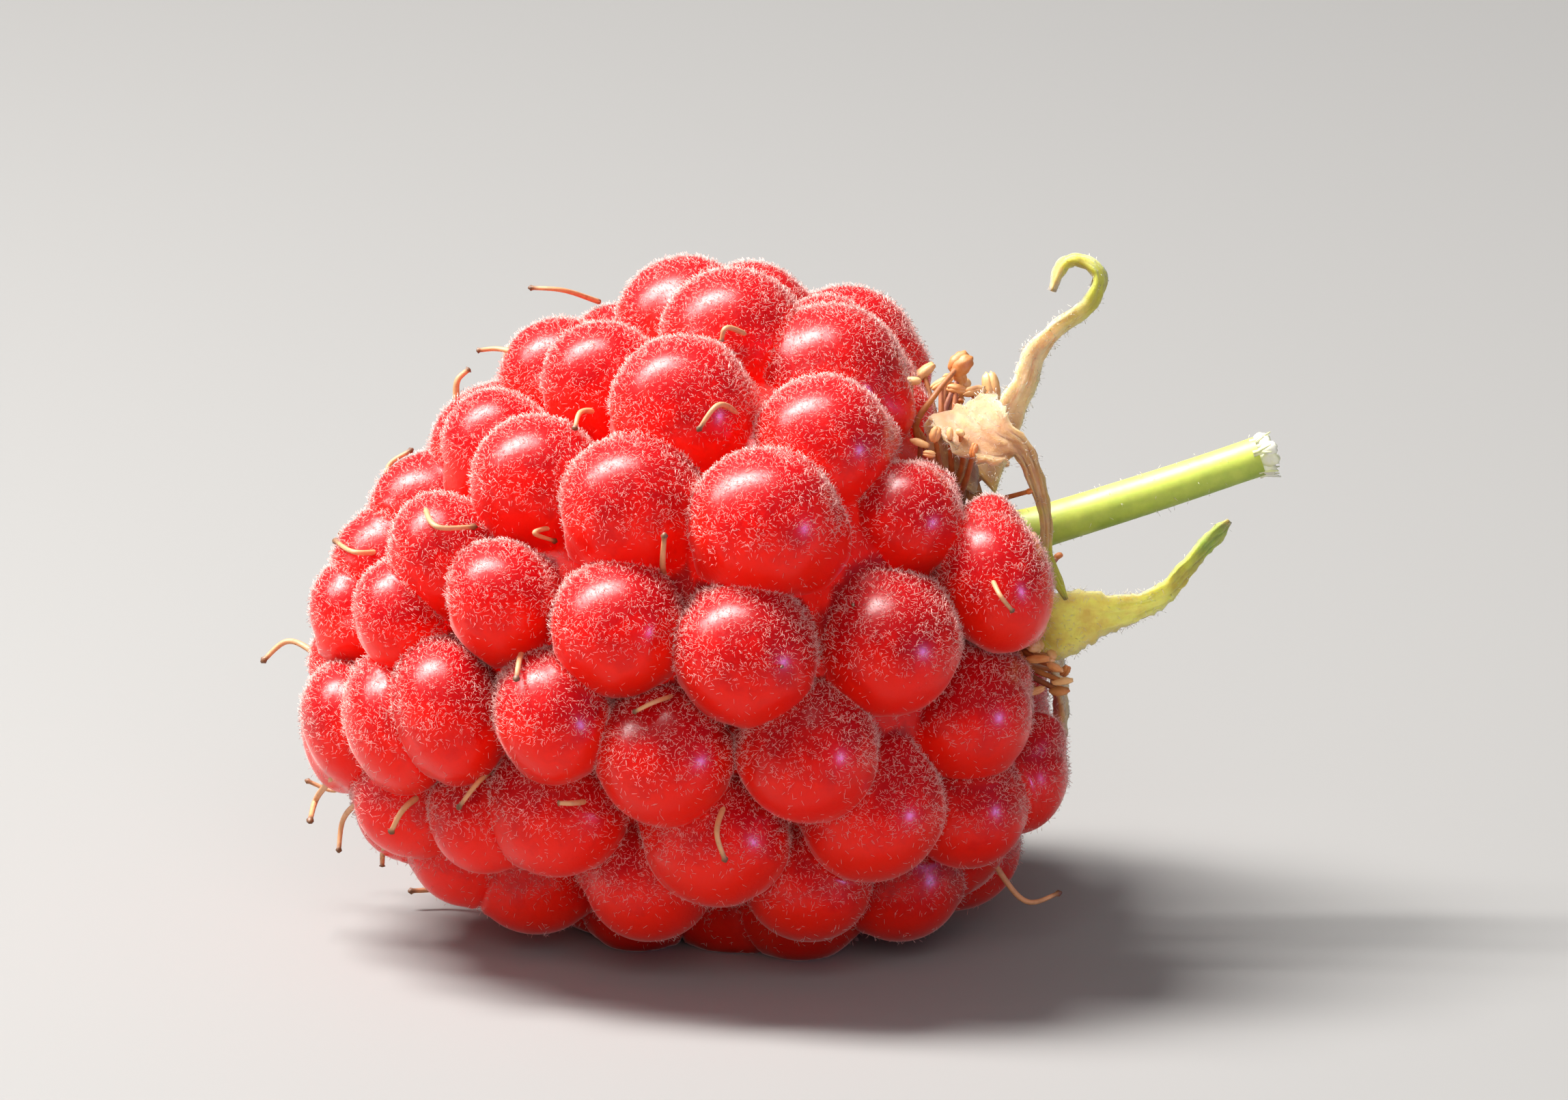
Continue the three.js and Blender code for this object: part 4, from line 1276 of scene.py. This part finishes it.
class RASPBERRY_OT_calyx(bpy.types.Operator):
    """Builds the calyx disc and its five withered sepals, with their felt"""

    bl_idname = "raspberry.calyx"
    bl_label = "Calyx"

    def execute(self, context):
        settings = context.scene.raspberry_calyx
        down = context.scene.raspberry_down
        rng = np.random.default_rng(SEED)
        felt = []
        for k, (name, row) in enumerate(SEPALS.items()):
            shape, along, margin = sepal_shape(row, k, settings)
            material = sepal_material(name, row["colours"], settings)
            piece = add_piece(name, shape, material, "sepal", along=along, margin=margin)
            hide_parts("calyx")
            felt.append(felt_on(piece.data, along, margin, down.hair_radius, rng))
        disc = axis_tube(np.linspace(DISC_FROM, DISC_TO, 4), DISC_RADIUS, DISC_SIDES)
        material = dry_material("calyx_disc", settings.tan, settings.rust_and_shade, 1500, 0.00005)
        add_piece("calyx_disc", disc, material, "sepal", darkness=np.full(len(disc[0]), 0.5))
        material = hair_material("sepal_felt", down.felt_colour)
        add_piece("sepal_felt", joined(felt), material, "sepal")
        return {"FINISHED"}


def stamen_path(k):
    """A filament's root, knee and end in the berry's frame."""
    turn = 2 * math.pi * draw(k + 0.1)
    ring = 0.5 * (RING_FROM + RING_TO)
    reach = ANTHER_OUT + ANTHER_OUT_SPREAD * draw(k + 0.4)
    forward = ANTHER_FORWARD + ANTHER_FORWARD_SPREAD * draw(k + 0.7)
    places = [
        (ring, RING_RADIUS - FILAMENT_SINK),
        (ring + KNEE_LIFT + KNEE_FORWARD * forward, 0.5 * (RING_RADIUS + reach) + KNEE_LIFT),
        (ring + forward, reach),
    ]
    return [[along, -out * math.cos(turn), out * math.sin(turn)] for along, out in places]


def neighbour_trees():
    """Search trees of what stands round the stamens."""
    meshes = [frame["nodes"][name].data for name in ("drupelets", "calyx", "stalk")]
    return [
        BVHTree.FromPolygons([v.co for v in mesh.vertices], [f.vertices for f in mesh.polygons])
        for mesh in meshes
    ]


def anther_shape(end, lies, half_length, half_width, rng):
    """Two lobes side by side, at a filament's end."""
    lies = unit(lies)
    side = unit(np.cross(lies, rng.normal(size=3)))
    axes = np.array([lies, side, np.cross(lies, side)])
    sizes = [half_length, *(width * half_width for width in LOBE_WIDTHS)]
    edges = (-LOBE_ASIDE * half_width, LOBE_ASIDE * half_width)
    return joined([lump(np.asarray(end) + edge * side, axes, sizes, rng) for edge in edges])


def hidden_stamens(filament_radius):
    """The stamens that follow the rule, in the same form as those at the front."""
    trees = neighbour_trees()
    rng = np.random.default_rng(SEED)
    stamens = []
    for k in range(1, STAMEN_DRAWS + 1):
        path = stamen_path(k)
        at_front = path[2][1] < FRONT_UP_TO and path[2][2] > 0
        reach = filament_radius + STAMEN_CLEAR * MM
        places = [Vector(p) for p in in_part(curve(path, FILAMENT_STEPS))[IN_THE_RING:]]
        if at_front or any(tree.find_nearest(p, reach)[0] for tree in trees for p in places):
            continue
        stamens.append({
            "path": path, "anther": [rng.uniform(*ANTHER_LENGTHS), rng.uniform(*ANTHER_WIDTHS)],
            "lies": rng.normal(size=3), "dark": rng.random(),
        })
    return stamens


class RASPBERRY_OT_stamens(bpy.types.Operator):
    """Builds the ring of dried stamens between berry and calyx"""

    bl_idname = "raspberry.stamens"
    bl_label = "Stamens"

    def execute(self, context):
        settings = context.scene.raspberry_calyx
        rng = np.random.default_rng(SEED)
        filaments, anthers, filament_tones, anther_tones = [], [], [], []
        radii = settings.filament_radius * np.linspace(*FILAMENT_TAPER, FILAMENT_STEPS + 1)
        for one in FRONT_STAMENS + hidden_stamens(settings.filament_radius):
            path = in_part(curve(one["path"], FILAMENT_STEPS))
            filaments.append(tube(path, radii, FILAMENT_SIDES))
            anthers.append(anther_shape(one["path"][-1], one["lies"], *one["anther"], rng))
            filament_tones += [rng.uniform(*FILAMENT_TONES)] * len(filaments[-1][0])
            anther_tones += [one["dark"]] * len(anthers[-1][0])
        filaments.append(axis_tube(np.linspace(RING_FROM, RING_TO, 3), RING_RADIUS, DISC_SIDES))
        filament_tones += [RING_TONE] * len(filaments[-1][0])
        material = dry_material("filament", settings.filament, settings.rust_and_shade, 3000, 0.00002)
        piece = add_piece(
            "filaments", joined(filaments), material, "stamen", darkness=filament_tones,
        )
        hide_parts("stamens")
        material = dry_material(
            "anther", settings.anther_light, settings.anther_dark, 3500, 0.00003,
        )
        add_piece("anthers", joined(anthers), material, "stamen", darkness=anther_tones)
        return {"FINISHED"}


def torn_lobe(k, end, radius, rng):
    turn = 2 * math.pi * (k / LOBES + LOBE_JITTER * rng.random())
    outward = np.array([0, math.cos(turn), math.sin(turn)])
    reach = radius * rng.uniform(*LOBE_OUT)
    middle = end + outward * reach + [rng.uniform(*LOBE_FORWARD), 0, 0]
    lengthwise = unit([1, LOBE_SPLAY * outward[1], LOBE_SPLAY * outward[2]])
    axes = np.array([lengthwise, outward, np.cross([1, 0, 0], outward)])
    return lump(middle, axes, rng.uniform(*LOBE_SIZES, 3), rng)


def torn_fibre(end, radius, rng):
    turn, out = 2 * math.pi * rng.random(), radius * math.sqrt(rng.random())
    outward = np.array([0, math.cos(turn), math.sin(turn)])
    base = end + out * outward
    forward = unit([1, *(FIBRE_SPLAY * outward[1:] + FIBRE_BEND * rng.normal(size=2))])
    tip = base + forward * rng.uniform(*FIBRE_LENGTHS)
    points, faces = tube([base - [FIBRE_ROOT, 0, 0], base, tip], FIBRE_RADII, FIBRE_SIDES)
    return in_part(points), faces


def frayed_end(end, radius, rng):
    """A knob of torn lobes and fibres on the cut end, and how dark each point is."""
    shapes, tones = [], []
    for k in range(LOBES):
        shapes.append(torn_lobe(k, end, radius, rng))
        tones += [rng.uniform(*LOBE_TONES)] * len(shapes[-1][0])
    for _ in range(FIBRES):
        shapes.append(torn_fibre(end, radius, rng))
        tones += [rng.uniform(*FIBRE_TONES)] * len(shapes[-1][0])
    return joined(shapes), tones


class RASPBERRY_OT_stalk(bpy.types.Operator):
    """Builds the stalk with its frayed cut end"""

    bl_idname = "raspberry.stalk"
    bl_label = "Stalk"

    def execute(self, context):
        settings = context.scene.raspberry_calyx
        down = context.scene.raspberry_down
        rng = np.random.default_rng(SEED)
        places = np.linspace(0, FRAY_FROM, STALK_STEPS + 1)
        spine = np.array([curve_point(STALK_POINTS, place) for place in places])
        path = in_part(spine)
        collar = STALK_COLLAR * np.exp(-places * COLLAR_FADE)
        flare = STALK_FLARE * np.exp((places - 1) * FLARE_FADE)
        radii = settings.stalk_radius + (collar + flare - STALK_TAPER * places) * MM
        points, faces = tube(path, radii, STALK_SIDES)
        # How low each point lies on the stalk's round, which the stalk's colour turns into painted
        # light on top and painted shade below
        depths = path[:, None, 2] - points[:, 2].reshape(len(path), STALK_SIDES)
        underside = (0.5 + 0.5 * depths / radii[:, None]).ravel()
        piece = add_piece(
            "stalk_stem", (points, faces), stalk_material(settings), "stalk", underside=underside,
        )
        piece.data.set_sharp_from_angle(angle=math.radians(CUT_ANGLE))
        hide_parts("stalk")
        weights = np.repeat(1 + ROOT_GAIN * (1 - ramp(places, 0, ROOT_REACH)), STALK_SIDES)
        bristles = sprouts(piece.data, STALK_HAIRS, weights, STALK_HAIR_LENGTH * MM,
                           STALK_HAIR_SHORTEST, STALK_HAIR_LIFTS, rng)
        material = hair_material("stalk_down", down.felt_colour)
        add_piece("stalk_down", hairs(*bristles, down.hair_radius, rng), material, "stalk")
        shape, tones = frayed_end(spine[-1], settings.stalk_radius / MM, rng)
        material = dry_material("pith", settings.pith, settings.pale_green_and_lit_top, 3000, 0.00004)
        add_piece("stalk_pith", shape, material, "stalk", darkness=tones)
        return {"FINISHED"}


# ---- Stage

def add_lamp(name, row, power):
    """A softbox that faces the berry."""
    lamp = bpy.data.lights.new(name, "AREA")
    lamp.shape = "RECTANGLE"
    lamp.size, lamp.size_y = (side * MM for side in row["size"])
    lamp.energy = power
    lamp.color = row["colour"]
    holder = bpy.data.objects.new(name, lamp)
    middle = Vector(AIM) * MM
    holder.location = middle + Vector(row["way"]).normalized() * row["distance"] * MM
    holder.rotation_euler = (holder.location - middle).to_track_quat("Z", "Y").to_euler()
    holder.visible_diffuse = row["adds"] != "gloss"
    holder.visible_glossy = row["adds"] != "soft light"
    bpy.context.scene.collection.objects.link(holder)


def add_room(brightness):
    """The even light round the stage."""
    world = bpy.data.worlds.new("room")
    world.use_nodes = True
    background = world.node_tree.nodes["Background"]
    background.inputs["Color"].default_value = opaque(ROOM_COLOUR)
    background.inputs["Strength"].default_value = brightness
    bpy.context.scene.world = world


def add_camera():
    back = Vector((
        math.sin(VIEW_AZIMUTH) * math.cos(VIEW_ELEVATION),
        -math.cos(VIEW_AZIMUTH) * math.cos(VIEW_ELEVATION),
        math.sin(VIEW_ELEVATION),
    ))
    lens = bpy.data.cameras.new("camera")
    lens.sensor_fit = "HORIZONTAL"
    lens.sensor_width = SENSOR_WIDTH
    lens.lens = SENSOR_WIDTH * VIEW_DISTANCE / IMAGE_WIDTH
    lens.clip_start = 10 * MM
    lens.clip_end = 20
    camera = bpy.data.objects.new("camera", lens)
    camera.location = (Vector(AIM) + back * VIEW_DISTANCE) * MM
    camera.rotation_euler = back.to_track_quat("Z", "Y").to_euler()
    bpy.context.scene.collection.objects.link(camera)
    bpy.context.scene.camera = camera


class RASPBERRY_OT_stage(bpy.types.Operator):
    """Adds the pale floor, the soft lights and the camera"""

    bl_idname = "raspberry.stage"
    bl_label = "Stage"

    def execute(self, context):
        settings = context.scene.raspberry_stage
        material, tree = new_material("studio_paper")
        tint = grained(tree, noise(tree, 3, 2), 0, 0.06)
        finish_material(tree, {
            "Base Color": blended(tree, tint, opaque(settings.floor), opaque(FLOOR_TINT)),
            "Roughness": 0.8,
            "Specular IOR Level": 0.1,
        })
        corners = [(-FLOOR_REACH, -FLOOR_REACH, 0), (FLOOR_REACH, -FLOOR_REACH, 0),
                   (FLOOR_REACH, FLOOR_REACH, 0), (-FLOOR_REACH, FLOOR_REACH, 0)]
        mesh = mesh_of("studio_floor", (corners, [[0, 1, 2, 3]]))
        mesh.materials.append(material)
        floor = bpy.data.objects.new("studio_floor", mesh)
        context.scene.collection.objects.link(floor)
        for name, row in LAMPS.items():
            add_lamp(name, row, getattr(settings, name + "_power"))
        add_room(settings.surround)
        context.scene.view_settings.view_transform = "Standard"
        add_camera()
        return {"FINISHED"}


# ---- Panel and registration

PIECES = (
    RASPBERRY_OT_stage, RASPBERRY_OT_drupelets, RASPBERRY_OT_styles, RASPBERRY_OT_down,
    RASPBERRY_OT_calyx, RASPBERRY_OT_stamens, RASPBERRY_OT_stalk,
)
SETTINGS = {
    "raspberry_fruit": RaspberryFruitSettings,
    "raspberry_down": RaspberryDownSettings,
    "raspberry_calyx": RaspberryCalyxSettings,
    "raspberry_stage": RaspberryStageSettings,
}


class RASPBERRY_PT_panel(bpy.types.Panel):
    """Lists the raspberry's settings and the buttons that build its pieces"""

    bl_label = "Raspberry"
    bl_idname = "RASPBERRY_PT_panel"
    bl_space_type = "VIEW_3D"
    bl_region_type = "UI"
    bl_category = "Raspberry"

    def draw(self, context):
        for name, group in SETTINGS.items():
            box = self.layout.box()
            for setting in group.__annotations__:
                box.prop(getattr(context.scene, name), setting)
        for operator in PIECES:
            self.layout.operator(operator.bl_idname)


def register():
    for group in SETTINGS.values():
        bpy.utils.register_class(group)
    for name, group in SETTINGS.items():
        setattr(bpy.types.Scene, name, PointerProperty(type=group))
    for operator in PIECES:
        bpy.utils.register_class(operator)
    bpy.utils.register_class(RASPBERRY_PT_panel)


def unregister():
    bpy.utils.unregister_class(RASPBERRY_PT_panel)
    for operator in reversed(PIECES):
        bpy.utils.unregister_class(operator)
    for name in SETTINGS:
        delattr(bpy.types.Scene, name)
    for group in reversed(SETTINGS.values()):
        bpy.utils.unregister_class(group)


def main():
    register()
    bpy.ops.raspberry.stage()
    bpy.ops.raspberry.drupelets()
    bpy.ops.raspberry.styles()
    bpy.ops.raspberry.down()
    bpy.ops.raspberry.calyx()
    bpy.ops.raspberry.stamens()
    bpy.ops.raspberry.stalk()


if __name__ == "__main__":
    main()
